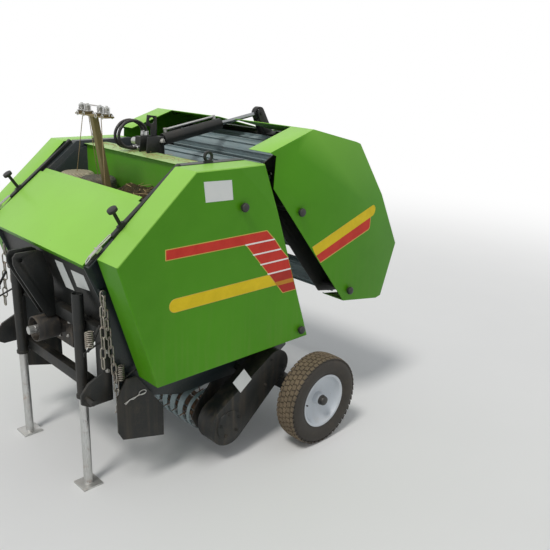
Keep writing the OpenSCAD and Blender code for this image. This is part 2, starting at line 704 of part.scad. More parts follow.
// A round tube along a flat line in X and Z
module tube_along(line, y, r, n) {
    m = len(line);
    t = [for (i = [0 : m - 1]) unit(line[min(i + 1, m - 1)] - line[max(i - 1, 0)])];
    ring = [for (i = [0 : m - 1], k = [0 : n - 1]) let (c = r * cos(k * 360 / n), h = r * sin(k * 360 / n))
        [line[i][0] - h * t[i][1], y - c, line[i][1] + h * t[i][0]]];
    walls = [for (i = [0 : m - 2], k = [0 : n - 1])
        [i * n + k, i * n + (k + 1) % n, (i + 1) * n + (k + 1) % n, (i + 1) * n + k]];
    first = [for (k = [0 : n - 1]) n - 1 - k];
    last = [for (k = [0 : n - 1]) (m - 1) * n + k];
    polyhedron(ring, concat([first], walls, [last]));
}
module hydraulic_hose() color("#17181a") for (y = [-64, -64 - hose_gap]) tube_along(hose_line, y, hose_r, hose_sides);

// Valve block on the top plate, with the coupling for the tractor's line
block_out = -112;
coupler_len = 50;
module hose_fittings() color("#8b8d88") {
    block(430, 476, block_out, -bracket_gap / 2 - bracket_t - 9, top_plate_z + sheet_t, 1392);
    translate([453, block_out + 1, 1366]) rotate([90, 0, 0]) {
        cylinder(h = 17, r = 12);
        translate([0, 0, 16]) cylinder(h = coupler_len - 16, r = 16);
    }
}

// Gearbox with the guard round the input shaft, and the cross tube to the drive side
input_x = plate_front_x + 150;
tube_x = plate_front_x - 70;
module drive_tube() color("#4a4d4e") {
    bar([tube_x, input_z], 24, gearbox_half, plate_in);
    bar([tube_x, input_z], 40, gearbox_half, gearbox_half + 18);
}
module gearbox() color("#4a4d4e") difference() {
    union() {
        block(plate_front_x - gearbox_len, plate_front_x, -gearbox_half, gearbox_half,
            beam_top_z + 35 - gearbox_h, beam_top_z + 35);
        translate([plate_front_x - 1, 0, input_z]) rotate([0, 90, 0]) cylinder(h = 36, r = 44);
        difference() {
            translate([plate_front_x + 30, 0, input_z]) rotate([0, 90, 0]) cylinder(h = 95, r = guard_r);
            translate([plate_front_x + 35, 0, input_z]) rotate([0, 90, 0]) cylinder(h = 95, r = guard_r - 4);
        }
    }
    translate([plate_front_x - 80, 0, input_z]) rotate([0, 90, 0]) cylinder(h = 200, r = input_r + 3 + fit);
}
shaft_start = plate_front_x - 79;
spline_len = 56;
spline_run_out = 3;
groove_back = 24;
groove_r = 3.6;
groove_deep = 1.2;
shaft_len = input_x - shaft_start;
module input_shaft() color("#9a9c9a") translate([shaft_start, 0, input_z]) rotate([0, 90, 0]) difference() {
    union() {
        cylinder(h = shaft_len - spline_len, r = input_r + 3);
        cylinder(h = shaft_len, r = input_r);
    }
    for (i = [0 : 5]) rotate([0, 0, i * 60])
        translate([input_r - 1.8, -2.1, shaft_len - spline_len - spline_run_out])
            cube([5, 4.2, spline_len + 2 * spline_run_out]);
    translate([0, 0, shaft_len - groove_back]) rotate_extrude() translate([input_r + groove_r - groove_deep, 0])
        circle(r = groove_r);
}

// Pickup: end plates, rear cross tubes, stripper bands and the tined reel
pickup_ear = [300, 400];
band_top_bar = [292, 302];
band_low_bar = [322, 80];
module pickup_sides() color("#25282a") {
    difference() {
        both_sides() {
            plate([[reel_x + 60, reel_z - 62], [reel_x + 88, reel_z], [reel_x + 60, reel_z + 62],
                [reel_x, reel_z + 120], [pickup_ear[0] + 60, 430], [240, 430], [250, 300],
                [band_low_bar[0] - 24, band_low_bar[1] - 16], [band_low_bar[0] + 20, band_low_bar[1] - 22],
                [reel_x, reel_z - 88]], pickup_half, pickup_half + pickup_plate_t);
            for (x = [270, 345]) bar([x, 408], 16, pickup_half + pickup_plate_t - 1, plate_in);
            bar([reel_x, reel_z], 32, pickup_half + pickup_plate_t - 1, pickup_half + pickup_plate_t + 20);
        }
        bar([reel_x, reel_z], reel_shaft_r + fit, -plate_out - 40, plate_out + 40);
    }
    bar(band_top_bar, 12, -pickup_half - 1, pickup_half + 1);
    bar(band_low_bar, 12, -pickup_half - 1, pickup_half + 1);
    plate([[255, 312], [band_top_bar[0], band_top_bar[1] + 10], [band_top_bar[0], band_top_bar[1] + 13],
        [255, 315], [190, 352], [188, 349]], -pickup_half - 1, pickup_half + 1);
}
module u_band() {
    difference() {
        union() {
            circle(r = band_r);
            polygon([[0, band_r], band_top_bar - [reel_x, reel_z] + [0, 14], band_top_bar - [reel_x, reel_z] + [0, 0],
                band_low_bar - [reel_x, reel_z], band_low_bar - [reel_x, reel_z] - [0, 14], [0, -band_r]]);
        }
        circle(r = band_r - band_t);
        polygon([[0, band_r - band_t], band_top_bar - [reel_x, reel_z] + [-1, 14 - band_t],
            band_low_bar - [reel_x, reel_z] - [31, 14 - band_t], [0, -band_r + band_t]]);
        translate(band_top_bar - [reel_x, reel_z]) circle(r = 12 + seat);
        translate(band_low_bar - [reel_x, reel_z]) circle(r = 12 + seat);
        translate([-200, -120]) square([42, 240]);
    }
}
module pickup_bands() color("#5e6664") for (i = [0 : tine_columns]) {
    y = (i - tine_columns / 2) * tine_pitch;
    w = i == 0 || i == tine_columns ? band_w - 16 : band_w;
    translate([reel_x, 0, reel_z]) slab(y - w / 2, y + w / 2) u_band();
}
tine_bar_r = 7;
tine_bar_at = 58;
tine_coil_r = 11;
spider_t = 5;
tine_lean = 6;
tine_reach = sqrt(pow(tine_tip_r, 2) - pow(tine_lean + tine_r, 2));
module pickup_reel() color("#6b5a48") translate([reel_x, 0, reel_z]) {
    bar([0, 0], 26, -pickup_half + 8, pickup_half - 8);
    bar([0, 0], reel_shaft_r, -pickup_half - 30, cheek_y + 12);
    for (y = [-pickup_half + 10, -2, pickup_half - 10 - spider_t])
        bar([0, 0], tine_bar_at + tine_bar_r + 3, y, y + spider_t);
    for (a = [0 : 90 : 270]) rotate([0, a, 0]) {
        bar([tine_bar_at, 0], tine_bar_r, -pickup_half + 10, pickup_half - 10);
        for (i = [0 : tine_columns - 1]) {
            y = (i - (tine_columns - 1) / 2) * tine_pitch;
            bar([tine_bar_at, 0], tine_coil_r, y - 7, y + 7);
            link([tine_bar_at, y, tine_lean], [tine_reach, y, -tine_lean], tine_r);
        }
    }
}
drive_arm = [165, 398];
drive_big_r = 100;
drive_small_r = 72;
drive_wall = 4;
module pickup_drive_cover() color("#1c1e20") difference() {
    union() {
        slab(cheek_y, drive_cover_y) capsule([reel_x, reel_z], drive_big_r, drive_arm, drive_small_r);
        bar([reel_x, reel_z], 70, drive_cover_y - 1, drive_cover_y + 8);
        for (p = [[290, 375], [205, 400]]) bar(p, 16, plate_out, cheek_y + 1);
    }
    slab(cheek_y + 8, drive_cover_y - drive_wall)
        capsule([reel_x, reel_z], drive_big_r - drive_wall, drive_arm, drive_small_r - drive_wall);
    bar([reel_x, reel_z], reel_shaft_r + fit, cheek_y - 1, cheek_y + 9);
    for (p = [[250, 320], [340, 260]]) bar(p, 30, cheek_y - 1, cheek_y + 9);
}

// Wheels
shoulder_r = 34;
module tyre(side) on_side(side) color("#2b2a28") translate([0, tyre_mid, tyre_r]) rotate([-90, 0, 0])
    rotate_extrude($fn = 64) difference() {
        translate([(tyre_r + rim_r) / 2, 0]) soft_box(tyre_r - rim_r, tyre_w, shoulder_r);
        square([2 * (rim_r + seat), tyre_w - 36], center = true);
        for (s = [-1, 1]) translate([rim_r - 6, s * (tyre_w / 2)]) circle(r = 18);
    }
rim_lip = 8;
valve_at = 100;
valve_r = 6;
module rim(side) on_side(side) color("#a7aaae") translate([0, tyre_mid, tyre_r]) difference() {
    rotate([-90, 0, 0]) rotate_extrude($fn = 64) polygon([
        [spindle_r + fit, -hub_in], [30, -hub_in], [30, -3], [46, -3], [62, -1], [78, 2], [92, 6], [105, 11], [rim_r - 10, 17],
        [rim_r - 10, -34], [rim_r - 2, -42], [rim_r - 2, -38], [rim_r, -34],
        [rim_r, 34], [rim_r - 2, 42], [rim_r + rim_lip - 4, 46], [rim_r + rim_lip - 4, 49],
        [rim_r - 6, 47], [rim_r - 11, 34], [rim_r - 15, 26], [105, 18.5], [92, 12.5], [78, 8], [62, 4.6], [46, 3], [30, 3],
        [30, 22], [24, hub_out], [spindle_r + fit, hub_out]]);
    bar([valve_at, 0], valve_r, 0, 30);
}

// Lift cylinder, drawn along its axis from the barrel's pin to the horn's pin
horn_pin = gate_turn([horn_pin_x, horn_pin_z]);
barrel_pin = [barrel_pin_x, barrel_pin_z];
cyl_run = norm(horn_pin - barrel_pin);
cyl_tilt = atan2(horn_pin[0] - barrel_pin[0], horn_pin[1] - barrel_pin[1]);
gland_len = 30;
base_len = 45;
barrel_wall = 6;
rod_inside = 110;
port_z = 58;
port_end = 22;
port_y = -12;
pipe_x = 38;
eye_w = 28;
module on_cylinder() translate([barrel_pin[0], 0, barrel_pin[1]]) rotate([0, cyl_tilt, 0]) children();
module cylinder_barrel() color("#1a1b1d") on_cylinder() {
    difference() {
        union() {
            translate([0, 0, 30]) cylinder(h = barrel_len - 30, r = barrel_r);
            bar([0, 0], 24, -20, 20);
            translate([-16, -16, 0]) cube([32, 32, 40]);
            for (z = [port_z, barrel_len - port_end]) translate([14, port_y, z]) rotate([0, 90, 0])
                cylinder(h = pipe_x - 8, r = 8);
        }
        translate([0, 0, base_len]) cylinder(h = barrel_len - base_len - gland_len, r = barrel_r - barrel_wall);
        translate([0, 0, base_len]) cylinder(h = barrel_len, r = rod_r + fit);
        bar([0, 0], 10 + fit, -30, 30);
    }
    translate([pipe_x, port_y, port_z]) cylinder(h = barrel_len - port_end - port_z, r = 5);
}
module cylinder_rod() color("#b9bcbc") on_cylinder() difference() {
    union() {
        translate([0, 0, barrel_len - rod_inside]) cylinder(h = cyl_run - barrel_len + rod_inside - rod_eye_r - 1, r = rod_r);
        translate([0, 0, barrel_len - rod_inside - 16]) cylinder(h = 16, r = barrel_r - barrel_wall - 0.1);
        translate([0, 0, cyl_run]) bar([0, 0], rod_eye_r + 9, -eye_w / 2, eye_w / 2);
    }
    translate([0, 0, cyl_run]) bar([0, 0], rod_eye_r, -eye_w, eye_w);
}

// Tailgate frame: side plates with their rim, cross tubes and the horn for the lift cylinder
horn_gap = 34;
horn_t = 9;
module gate_frame() gate_pose() color("#25282a") {
    both_sides() difference() {
        union() {
            plate(gate_plate_outline, gate_plate_in, gate_plate_out);
            slab(gate_plate_in, gate_plate_out) capsule([hinge_x, hinge_z], gate_ear_r,
                [hinge_x - 60, hinge_z], gate_ear_r);
            bearings(gate_roller_at, gate_plate_out);
            for (p = gate_posts) bar(p, cover_post_r, gate_plate_out - 1, cover_out_y - sheet_t);
        }
        for (p = gate_roller_at) bar(p, roller_shaft_r + fit, gate_plate_in - 1, rail_out);
        bar([hinge_x, hinge_z], hinge_pin_r + fit, gate_plate_in - 1, rail_out);
    }
    for (p = [gate_tube_at, gate_tube_low])
        block(p[0] - gate_tube / 2, p[0] + gate_tube / 2, -gate_plate_in - 2, gate_plate_in + 2,
            p[1] - gate_tube / 2, p[1] + gate_tube / 2);
    both_sides() slab(horn_gap / 2, horn_gap / 2 + horn_t)
        capsule(gate_tube_at + [0, 8], 27, [horn_pin_x, horn_pin_z], 22);
    bar([horn_pin_x, horn_pin_z], horn_pin_r, -horn_gap / 2 - horn_t - 6, horn_gap / 2 + horn_t + 6);
}

// Green panel between the tailgate covers, with a slot for the horn and the rod
panel_t = 4;
slot_half = 60;
slot_end = 288;
panel_line = [gate_crown, gate_back[3], gate_back[2]];
module gate_panel() gate_pose() color("#6fb83e") difference() {
    plate(strip(panel_line, panel_t), -rail_out, rail_out);
    block(-slot_end, 0, -slot_half, slot_half, gate_back[2][1], gate_peak[1] + 100);
}

placed() {
    side_plate(left);  // side_plate_left
    side_plate(right);  // side_plate_right
    axle();
    hitch_posts();
    hitch_beams();
    top_mast();
    leg_sleeves();
    front_plate();
    link_cheeks();
    cover_front(left);  // cover_front_left
    cover_front(right);  // cover_front_right
    twine_box();
    top_beam();
    twine_post();
    twine_balls();
    twine_strands();
    rail_fittings();
    hanging_chains();
    hydraulic_hose();
    hose_fittings();
    gearbox();
    drive_tube();
    pickup_sides();
    pickup_bands();
    pickup_drive_cover();
    hood();
    leg(left);  // leg_left
    leg(right);  // leg_right
    input_shaft();
    pickup_reel();
    rim(left);  // rim_left
    tyre(left);  // tyre_left
    rim(right);  // rim_right
    tyre(right);  // tyre_right
    cylinder_barrel();
    cylinder_rod();
    gate_frame();
    cover_gate(left);  // cover_gate_left
    cover_gate(right);  // cover_gate_right
    gate_panel();
    for (i = [1 : front_rollers]) front_roller(i);
    for (i = [1 : gate_rollers]) gate_roller(i);
}
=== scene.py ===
"""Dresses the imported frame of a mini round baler: paint, stripes, tyres, bolts, chains, twine and studio."""

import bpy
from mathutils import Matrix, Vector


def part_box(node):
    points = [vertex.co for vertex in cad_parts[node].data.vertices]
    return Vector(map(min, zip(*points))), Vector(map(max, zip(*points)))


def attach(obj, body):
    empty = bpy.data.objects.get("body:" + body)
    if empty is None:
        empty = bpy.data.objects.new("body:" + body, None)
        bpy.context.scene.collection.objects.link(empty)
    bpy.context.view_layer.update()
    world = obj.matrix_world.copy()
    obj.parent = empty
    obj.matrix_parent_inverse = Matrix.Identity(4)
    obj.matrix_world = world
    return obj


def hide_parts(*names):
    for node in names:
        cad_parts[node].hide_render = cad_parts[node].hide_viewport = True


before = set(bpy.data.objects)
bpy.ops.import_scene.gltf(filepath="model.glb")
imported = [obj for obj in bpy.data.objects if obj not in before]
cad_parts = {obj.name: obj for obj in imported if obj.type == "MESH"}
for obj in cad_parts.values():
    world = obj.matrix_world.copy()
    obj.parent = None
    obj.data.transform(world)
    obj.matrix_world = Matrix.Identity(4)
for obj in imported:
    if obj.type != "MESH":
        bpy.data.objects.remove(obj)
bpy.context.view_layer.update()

import math

import bmesh
import bpy
from bpy.props import FloatProperty, FloatVectorProperty, IntProperty, PointerProperty
from mathutils import Matrix, Vector, noise

bl_info = {
    "name": "Mini Round Baler Finish",
    "version": (1, 0, 0),
    "blender": (4, 5, 0),
    "location": "3D View > Sidebar > Baler",
    "description": "Builds the visible finish of a mini round baler round its packed frame",
    "category": "Object",
}

# Places are given in metres ahead of the wheel axle, to the left and above the floor
TYRE_LOW, TYRE_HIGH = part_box("tyre_left")
AXLE_X = (TYRE_LOW.x + TYRE_HIGH.x) / 2
WHEEL_Y = (TYRE_LOW.y + TYRE_HIGH.y) / 2
TYRE_R = TYRE_HIGH.z / 2
COVER_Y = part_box("cover_front_left")[1].y
SIDES = (1, -1)
GATE_OPEN = math.radians(20)
HINGE = (0.222, 1.245)
SLOPE = math.atan2(0.336, 0.426)
RAIL_CORNER = (0.614, 1.346)
BARREL_PIN = (0.433, 1.379)
HORN_PIN = (-0.231, 1.338)
WHITE = (1, 1, 1, 1)

# How close corners lie that are merged, and how little two faces bend that count as one
CAD_WELD = 1e-5
OWN_WELD = 1e-6
FLAT_BEND = math.radians(0.6)


def at(x, y, z):
    """A point of the baler from its place ahead of the axle."""
    return Vector((x + AXLE_X, y, z))


def gate_turn(x, z):
    """Where a point of the closed tailgate lies with the tailgate open as modelled."""
    run = x - HINGE[0]
    rise = z - HINGE[1]
    c = math.cos(GATE_OPEN)
    s = math.sin(GATE_OPEN)
    return (HINGE[0] + run * c + rise * s, HINGE[1] - run * s + rise * c)


def on_slope(along, above):
    """A point above the sloping rail, by its distance from the rail's corner."""
    c = math.cos(SLOPE)
    s = math.sin(SLOPE)
    return (RAIL_CORNER[0] + along * c + above * s, RAIL_CORNER[1] - along * s + above * c)


# Sizes and colours

def length(label, text, default):
    """A length that a user may change."""
    return FloatProperty(name=label, description=text, default=default, min=0.0, unit="LENGTH",
                         subtype="DISTANCE")


def colour(label, text, default):
    """A colour that a user may change."""
    return FloatVectorProperty(name=label, description=text, default=default, min=0.0, max=1.0, size=3,
                               subtype="COLOR")


class BALER_PG_sizes(bpy.types.PropertyGroup):
    """Sizes of the trim."""

    fold_radius: length("Fold radius", "Outer radius of the folds round the side covers", 0.005)
    knob_radius: length("Knob radius", "Radius of the round cover knobs", 0.019)
    decal_lift: length("Stripe thickness", "How far a stripe stands off the paint", 0.0004)
    tread_depth: length("Tread depth", "Height of the tread blocks", 0.0055)
    tread_pitches: IntProperty(name="Tread pitches", description="Tread pitches round a tyre", default=50,
                               min=20, max=80)
    link_wire: length("Link wire", "Wire thickness of the hanging chains", 0.0062)
    litter: IntProperty(name="Straw bits", description="Bits of straw on the box floor and the level plate",
                        default=260, min=0, max=2000)


class BALER_PG_colours(bpy.types.PropertyGroup):
    """Colours of the finishes."""

    # Green is the cover paint darkened to its look on the shaded sides, which is painted shade. Lid green is
    # the same paint as lit from above, which is painted light. They are not two paints.
    green: colour("Green paint", "Gloss paint of the covers", (0.072, 0.280, 0.004))
    lit_top_green: colour("Lid green", "Sun-bleached paint that faces up", (0.320, 0.650, 0.100))
    black: colour("Black paint", "Paint of the frame", (0.0085, 0.0100, 0.0095))
    rail_grey: colour("Rail paint", "Paint of the rails", (0.014, 0.022, 0.024))
    roller_grey: colour("Roller steel", "Paint and steel of the rollers", (0.250, 0.330, 0.345))
    silver: colour("Rim paint", "Silver paint of the rims", (0.56, 0.60, 0.64))
    rubber: colour("Tyre rubber", "Rubber of the tyres", (0.020, 0.017, 0.013))
    red: colour("Red stripe", "Red of the stripes", (0.60, 0.030, 0.016))
    yellow: colour("Yellow stripe", "Yellow of the stripes", (0.76, 0.56, 0.004))
    dust: colour("Dust", "Field dust on every surface", (0.33, 0.25, 0.16))
    rust: colour("Rust", "Rust on worn steel", (0.16, 0.062, 0.026))
    twine: colour("Twine", "Sisal twine", (0.44, 0.31, 0.16))
    post_tan: colour("Post paint", "Weathered paint of the twine post", (0.20, 0.155, 0.062))


def sizes():
    """The sizes as set in the panel."""
    return bpy.context.scene.baler_sizes


def colours():
    """The colours as set in the panel."""
    return bpy.context.scene.baler_colours


# Nodes of materials and trees

def add_node(tree, kind, inputs=None, settings=None):
    """Adds a node. Each input is a constant or the socket that it is joined to."""
    made = tree.nodes.new(kind)
    for key, value in (settings or {}).items():
        setattr(made, key, value)
    for key, value in (inputs or {}).items():
        if isinstance(value, bpy.types.NodeSocket):
            tree.links.new(value, made.inputs[key])
        else:
            made.inputs[key].default_value = value
    return made


# Finishes

class Nodes:
    """A material's nodes, added one by one and joined by their sockets."""

    def __init__(self, name):
        self.material = bpy.data.materials.new(name)
        self.material.use_nodes = True
        self.tree = self.material.node_tree
        self.tree.nodes.clear()

    def add(self, kind, inputs=None, **settings):
        """Adds a node to the material."""
        return add_node(self.tree, kind, inputs, settings)

    def place(self, centre=(0, 0, 0), stretch=(1, 1, 1), turn=(0, 0, 0)):
        """Object coordinates, shifted so that centre is the pattern's origin."""
        coords = self.add("ShaderNodeTexCoord").outputs["Object"]
        moved = self.add("ShaderNodeVectorMath", {0: coords, 1: centre}, operation="SUBTRACT").outputs[0]
        return self.add("ShaderNodeMapping", {"Vector": moved, "Rotation": turn, "Scale": stretch}).outputs[0]

    def noise(self, vector, scale, detail, rough=0.55, warp=0.0):
        """Soft noise with a scale, its detail, roughness and distortion."""
        return self.add("ShaderNodeTexNoise", {"Vector": vector, "Scale": scale, "Detail": detail,
                                               "Roughness": rough, "Distortion": warp}).outputs["Fac"]

    def ramp(self, value, low, high, start=0.0, end=1.0):
        """A value from low to high, mapped to start to end and held there."""
        return self.add("ShaderNodeMapRange", {"Value": value, "From Min": low, "From Max": high,
                                               "To Min": start, "To Max": end}).outputs["Result"]

    def math(self, operation, first, second=0.0, clamp=False):
        """A sum on one or two values."""
        made = self.add("ShaderNodeMath", {0: first, 1: second}, operation=operation, use_clamp=clamp)
        return made.outputs[0]

    def mix(self, factor, first, second):
        """Two colours mixed by a factor. The colour sockets are inputs 6 and 7 and output 2."""
        return self.add("ShaderNodeMix", {0: factor, 6: first, 7: second}, data_type="RGBA").outputs[2]

    def bump(self, height, strength, distance, under=None):
        """Relief from a height, laid over another normal where one is given."""
        inputs = {"Height": height, "Strength": strength, "Distance": distance}
        if under is not None:
            inputs["Normal"] = under
        return self.add("ShaderNodeBump", inputs).outputs["Normal"]

    def upward(self):
        """How far a surface faces up, from 0 to 1."""
        normal = self.add("ShaderNodeTexCoord").outputs["Normal"]
        lift = self.add("ShaderNodeSeparateXYZ", {0: normal}).outputs["Z"]
        return self.ramp(lift, 0.1, 1.0)

    def height(self):
        """Height above the floor."""
        place = self.add("ShaderNodeTexCoord").outputs["Object"]
        return self.add("ShaderNodeSeparateXYZ", {0: place}).outputs["Z"]

    def finish(self, base, rough, normal=None, metal=0.0, **constants):
        """Joins colour, gloss and relief to one shader and gives the finished material."""
        inputs = {"Base Color": base, "Roughness": rough, "Metallic": metal}
        if normal is not None:
            inputs["Normal"] = normal
        for key, value in constants.items():
            inputs[key.replace("_", " ")] = value
        shader = self.add("ShaderNodeBsdfPrincipled", inputs)
        self.add("ShaderNodeOutputMaterial", {"Surface": shader.outputs[0]})
        return self.material


def rgba(values):
    """A colour of three parts with full cover."""
    return (values[0], values[1], values[2], 1.0)


def scaled(values, factor):
    """A colour made lighter or darker by a factor."""
    return rgba([min(1.0, v * factor) for v in values])


SPLASH_RISE = 0.45


def paint(name, base, rough, dust, chips, low_dust=0.0, low_z=0.5, waves=0.5, lit_top_colour=None, shine=0.5):
    """Gloss or satin paint with field dust, faint dents, fine peel, a few chips and an upper side painted
    lighter as painted light.

    Dust that hangs in streaks grows from SPLASH_RISE above low_z down to low_z.
    """
    n = Nodes(name)
    place = n.place()
    broad = n.noise(place, 2.3, 3.0, 0.5)
    patch = n.noise(place, 11.0, 6.0, 0.62, 0.4)
    grain = n.noise(place, 160.0, 3.0, 0.6)
    peel = n.noise(place, 420.0, 1.0, 0.5)
    streak = n.noise(n.place(stretch=(26, 26, 2.2)), 1.4, 3.0, 0.5)
    tone = n.mix(n.ramp(broad, 0.3, 0.7), scaled(base, 0.90), scaled(base, 1.08))
    tone = n.mix(n.ramp(patch, 0.35, 0.75, 0.0, 0.35), tone, scaled(base, 1.12))
    # Faces that look up are mixed toward a lighter colour. This is painted light from above, not a colour of
    # the paint.
    if lit_top_colour is not None:
        painted_top_light = n.ramp(n.upward(), 0.0, 0.35)
        painted_lit_tone = n.mix(n.ramp(broad, 0.3, 0.7), scaled(lit_top_colour, 0.95), scaled(lit_top_colour, 1.05))
        tone = n.mix(painted_top_light, tone, painted_lit_tone)
    flecks = n.ramp(n.math("MULTIPLY", patch, grain), 0.24, 0.46)
    lying = n.math("MULTIPLY", n.upward(), n.ramp(patch, 0.40, 0.80))
    splash = n.ramp(n.height(), low_z + SPLASH_RISE, low_z, 0.0, low_dust)
    hanging = n.math("MULTIPLY", n.ramp(streak, 0.46, 0.75), splash)
    cover = n.math("ADD", n.math("MULTIPLY", flecks, dust), n.math("MULTIPLY", lying, dust * 1.1))
    cover = n.math("ADD", cover, hanging, clamp=True)
    base_now = n.mix(cover, tone, rgba(colours().dust))
    gloss = n.ramp(cover, 0.0, 0.8, rough, 0.85)
    gloss = n.math("ADD", gloss, n.ramp(grain, 0.3, 0.7, -0.03, 0.05))
    spots = n.noise(n.place((0.3, 0.1, 0.7)), 46.0, 5.0, 0.7, 0.6)
    worn = n.ramp(spots, 0.735 - chips, 0.75 - chips)
    rusty = n.mix(n.ramp(grain, 0.4, 0.6), rgba(colours().rust), (0.16, 0.15, 0.14, 1.0))
    base_now = n.mix(worn, base_now, rusty)
    normal = n.bump(broad, 0.10 * waves, 0.02)
    normal = n.bump(peel, 0.05, 0.0006, normal)
    normal = n.bump(patch, 0.10, 0.0012, normal)
    return n.finish(base_now, gloss, normal, Specular_IOR_Level=shine)


def steel(name, base, rough, rust, dust, grain_turn=(1, 30, 1), metal=0.9):
    """Worn or plated steel: brushed grain, dull patches, rust and dust."""
    n = Nodes(name)
    place = n.place()
    patch = n.noise(place, 9.0, 7.0, 0.65, 0.5)
    spots = n.noise(n.place((0.2, 0.4, 0.1)), 34.0, 6.0, 0.7, 0.3)
    brushed = n.noise(n.place(stretch=grain_turn), 30.0, 3.0, 0.6)
    tone = n.mix(n.ramp(brushed, 0.3, 0.7), scaled(base, 0.78), scaled(base, 1.15))
    rusty = n.ramp(spots, 0.62 - rust * 0.4, 0.80 - rust * 0.4)
    rusty = n.math("MULTIPLY", rusty, min(1.0, 0.4 + rust), clamp=True)
    rust_tone = n.mix(n.ramp(patch, 0.35, 0.65), rgba(colours().rust), scaled(colours().rust, 1.9))
    tone = n.mix(rusty, tone, rust_tone)
    lying = n.math("MULTIPLY", n.upward(), n.ramp(patch, 0.3, 0.7))
    film = n.math("MULTIPLY", n.math("ADD", n.ramp(patch, 0.4, 0.8), lying), dust, clamp=True)
    tone = n.mix(film, tone, rgba(colours().dust))
    covered = n.math("MAXIMUM", rusty, film)
    gloss = n.ramp(covered, 0.0, 1.0, rough, 0.9)
    gloss = n.math("ADD", gloss, n.ramp(brushed, 0.3, 0.7, -0.06, 0.08))
    metallic = n.ramp(covered, 0.0, 0.7, metal, 0.0)
    normal = n.bump(brushed, 0.08, 0.0006)
    normal = n.bump(spots, 0.25, 0.0008, normal)
    return n.finish(tone, gloss, normal, metallic)


def tyre_rubber():
    """Tyre rubber, dark on the walls and dusty on the tread."""
    n = Nodes("tyre_rubber")
    wheel = n.place((AXLE_X, 0.0, TYRE_R), (1, 0, 1))
    reach = n.add("ShaderNodeVectorMath", {0: wheel}, operation="LENGTH").outputs["Value"]
    place = n.place()
    patch = n.noise(place, 16.0, 6.0, 0.65, 0.3)
    fine = n.noise(place, 240.0, 3.0, 0.6)
    tread = n.ramp(reach, TYRE_R - 0.0075, TYRE_R - 0.0035)
    dusty = n.math("MULTIPLY", tread, n.ramp(patch, 0.25, 0.70, 0.55, 1.0))
    dusty = n.math("ADD", dusty, n.ramp(patch, 0.50, 0.85, 0.02, 0.16), clamp=True)
    base = n.mix(n.ramp(fine, 0.3, 0.7), scaled(colours().rubber, 0.8), scaled(colours().rubber, 1.5))
    base = n.mix(dusty, base, scaled(colours().dust, 0.58))
    rings = n.math("SINE", n.math("MULTIPLY", reach, 900.0))
    normal = n.bump(rings, 0.05, 0.0004)
    normal = n.bump(fine, 0.35, 0.0006, normal)
    return n.finish(base, n.ramp(dusty, 0.0, 1.0, 0.62, 0.95), normal)


def moulded(name, base, rough, dust):
    """Moulded rubber or plastic with a fine grain."""
    n = Nodes(name)
    place = n.place()
    patch = n.noise(place, 20.0, 5.0, 0.6)
    grain = n.noise(place, 700.0, 2.0, 0.5)
    film = n.math("MULTIPLY", n.math("ADD", n.ramp(patch, 0.4, 0.8), n.upward()), dust, clamp=True)
    tone = n.mix(film, rgba(base), rgba(colours().dust))
    gloss = n.ramp(film, 0.0, 0.6, rough, 0.9)
    return n.finish(tone, gloss, n.bump(grain, 0.15, 0.0004))


def sticker(name, base, dust=0.05):
    """Printed foil: flat colour with a little dust and small scratches."""
    n = Nodes(name)
    place = n.place()
    patch = n.noise(place, 14.0, 6.0, 0.65, 0.5)
    scratch = n.noise(n.place(stretch=(3, 3, 60)), 5.0, 4.0, 0.7)
    tone = n.mix(n.ramp(patch, 0.3, 0.7), scaled(base, 0.88), scaled(base, 1.08))
    film = n.math("MULTIPLY", n.ramp(patch, 0.35, 0.75), dust)
    tone = n.mix(film, tone, rgba(colours().dust))
    tone = n.mix(n.ramp(scratch, 0.70, 0.78, 0.0, 0.5), tone, scaled(colours().dust, 1.3))
    gloss = n.ramp(film, 0.0, 0.5, 0.42, 0.8)
    return n.finish(tone, gloss, n.bump(patch, 0.08, 0.0006), Specular_IOR_Level=0.25)


def wound_twine(name, centre, base):
    """Twine wound crosswise round a ball."""
    n = Nodes(name)
    tone = n.noise(n.place(centre), 30.0, 4.0, 0.6)
    bands = 260.0 / 6.3
    waves = []
    for lean in (0.42, -0.42):
        turned = n.place(centre, turn=(lean, lean * 0.7, 0))
        waves.append(n.add("ShaderNodeTexWave", {"Vector": turned, "Scale": bands, "Distortion": 1.2,
                                                 "Detail": 2.0, "Detail Scale": 1.5},
                           wave_type="BANDS", bands_direction="Z").outputs["Fac"])
    windings_and_gap_shade = n.math("MAXIMUM", waves[0], waves[1])
    fibre = n.noise(n.place(centre, (1, 1, 6)), 380.0, 3.0, 0.7)
    # Between the windings the twine is darkened to under half its colour. This is painted shade in the
    # grooves.
    shade = n.mix(windings_and_gap_shade, scaled(base, 0.45), scaled(base, 1.15))
    shade = n.mix(n.ramp(tone, 0.35, 0.7, 0.0, 0.45), shade, rgba(colours().dust))
    shade = n.mix(n.ramp(fibre, 0.55, 0.8, 0.0, 0.5), shade, scaled(base, 1.6))
    normal = n.bump(windings_and_gap_shade, 0.8, 0.0022)
    normal = n.bump(fibre, 0.4, 0.0005, normal)
    return n.finish(shade, 0.92, normal)


def straw():
    """Dry straw."""
    n = Nodes("straw")
    tone = n.noise(n.place(), 60.0, 3.0, 0.6)
    shade = n.mix(tone, (0.30, 0.19, 0.07, 1), (0.72, 0.55, 0.28, 1))
    return n.finish(shade, 0.75, n.bump(tone, 0.2, 0.0005))


def chaff():
    """Dark damp chaff with pale bits in it."""
    n = Nodes("chaff")
    clump = n.noise(n.place(), 38.0, 6.0, 0.7, 0.4)
    bits = n.noise(n.place(stretch=(1, 2.5, 1)), 190.0, 3.0, 0.7)
    tone = n.mix(n.ramp(clump, 0.35, 0.65), (0.012, 0.010, 0.006, 1), (0.085, 0.060, 0.025, 1))
    tone = n.mix(n.ramp(bits, 0.62, 0.70), tone, (0.36, 0.34, 0.20, 1))
    normal = n.bump(bits, 0.6, 0.003, n.bump(clump, 0.8, 0.010))
    return n.finish(tone, 0.95, normal, Specular_IOR_Level=0.2)


FINISHES = {}


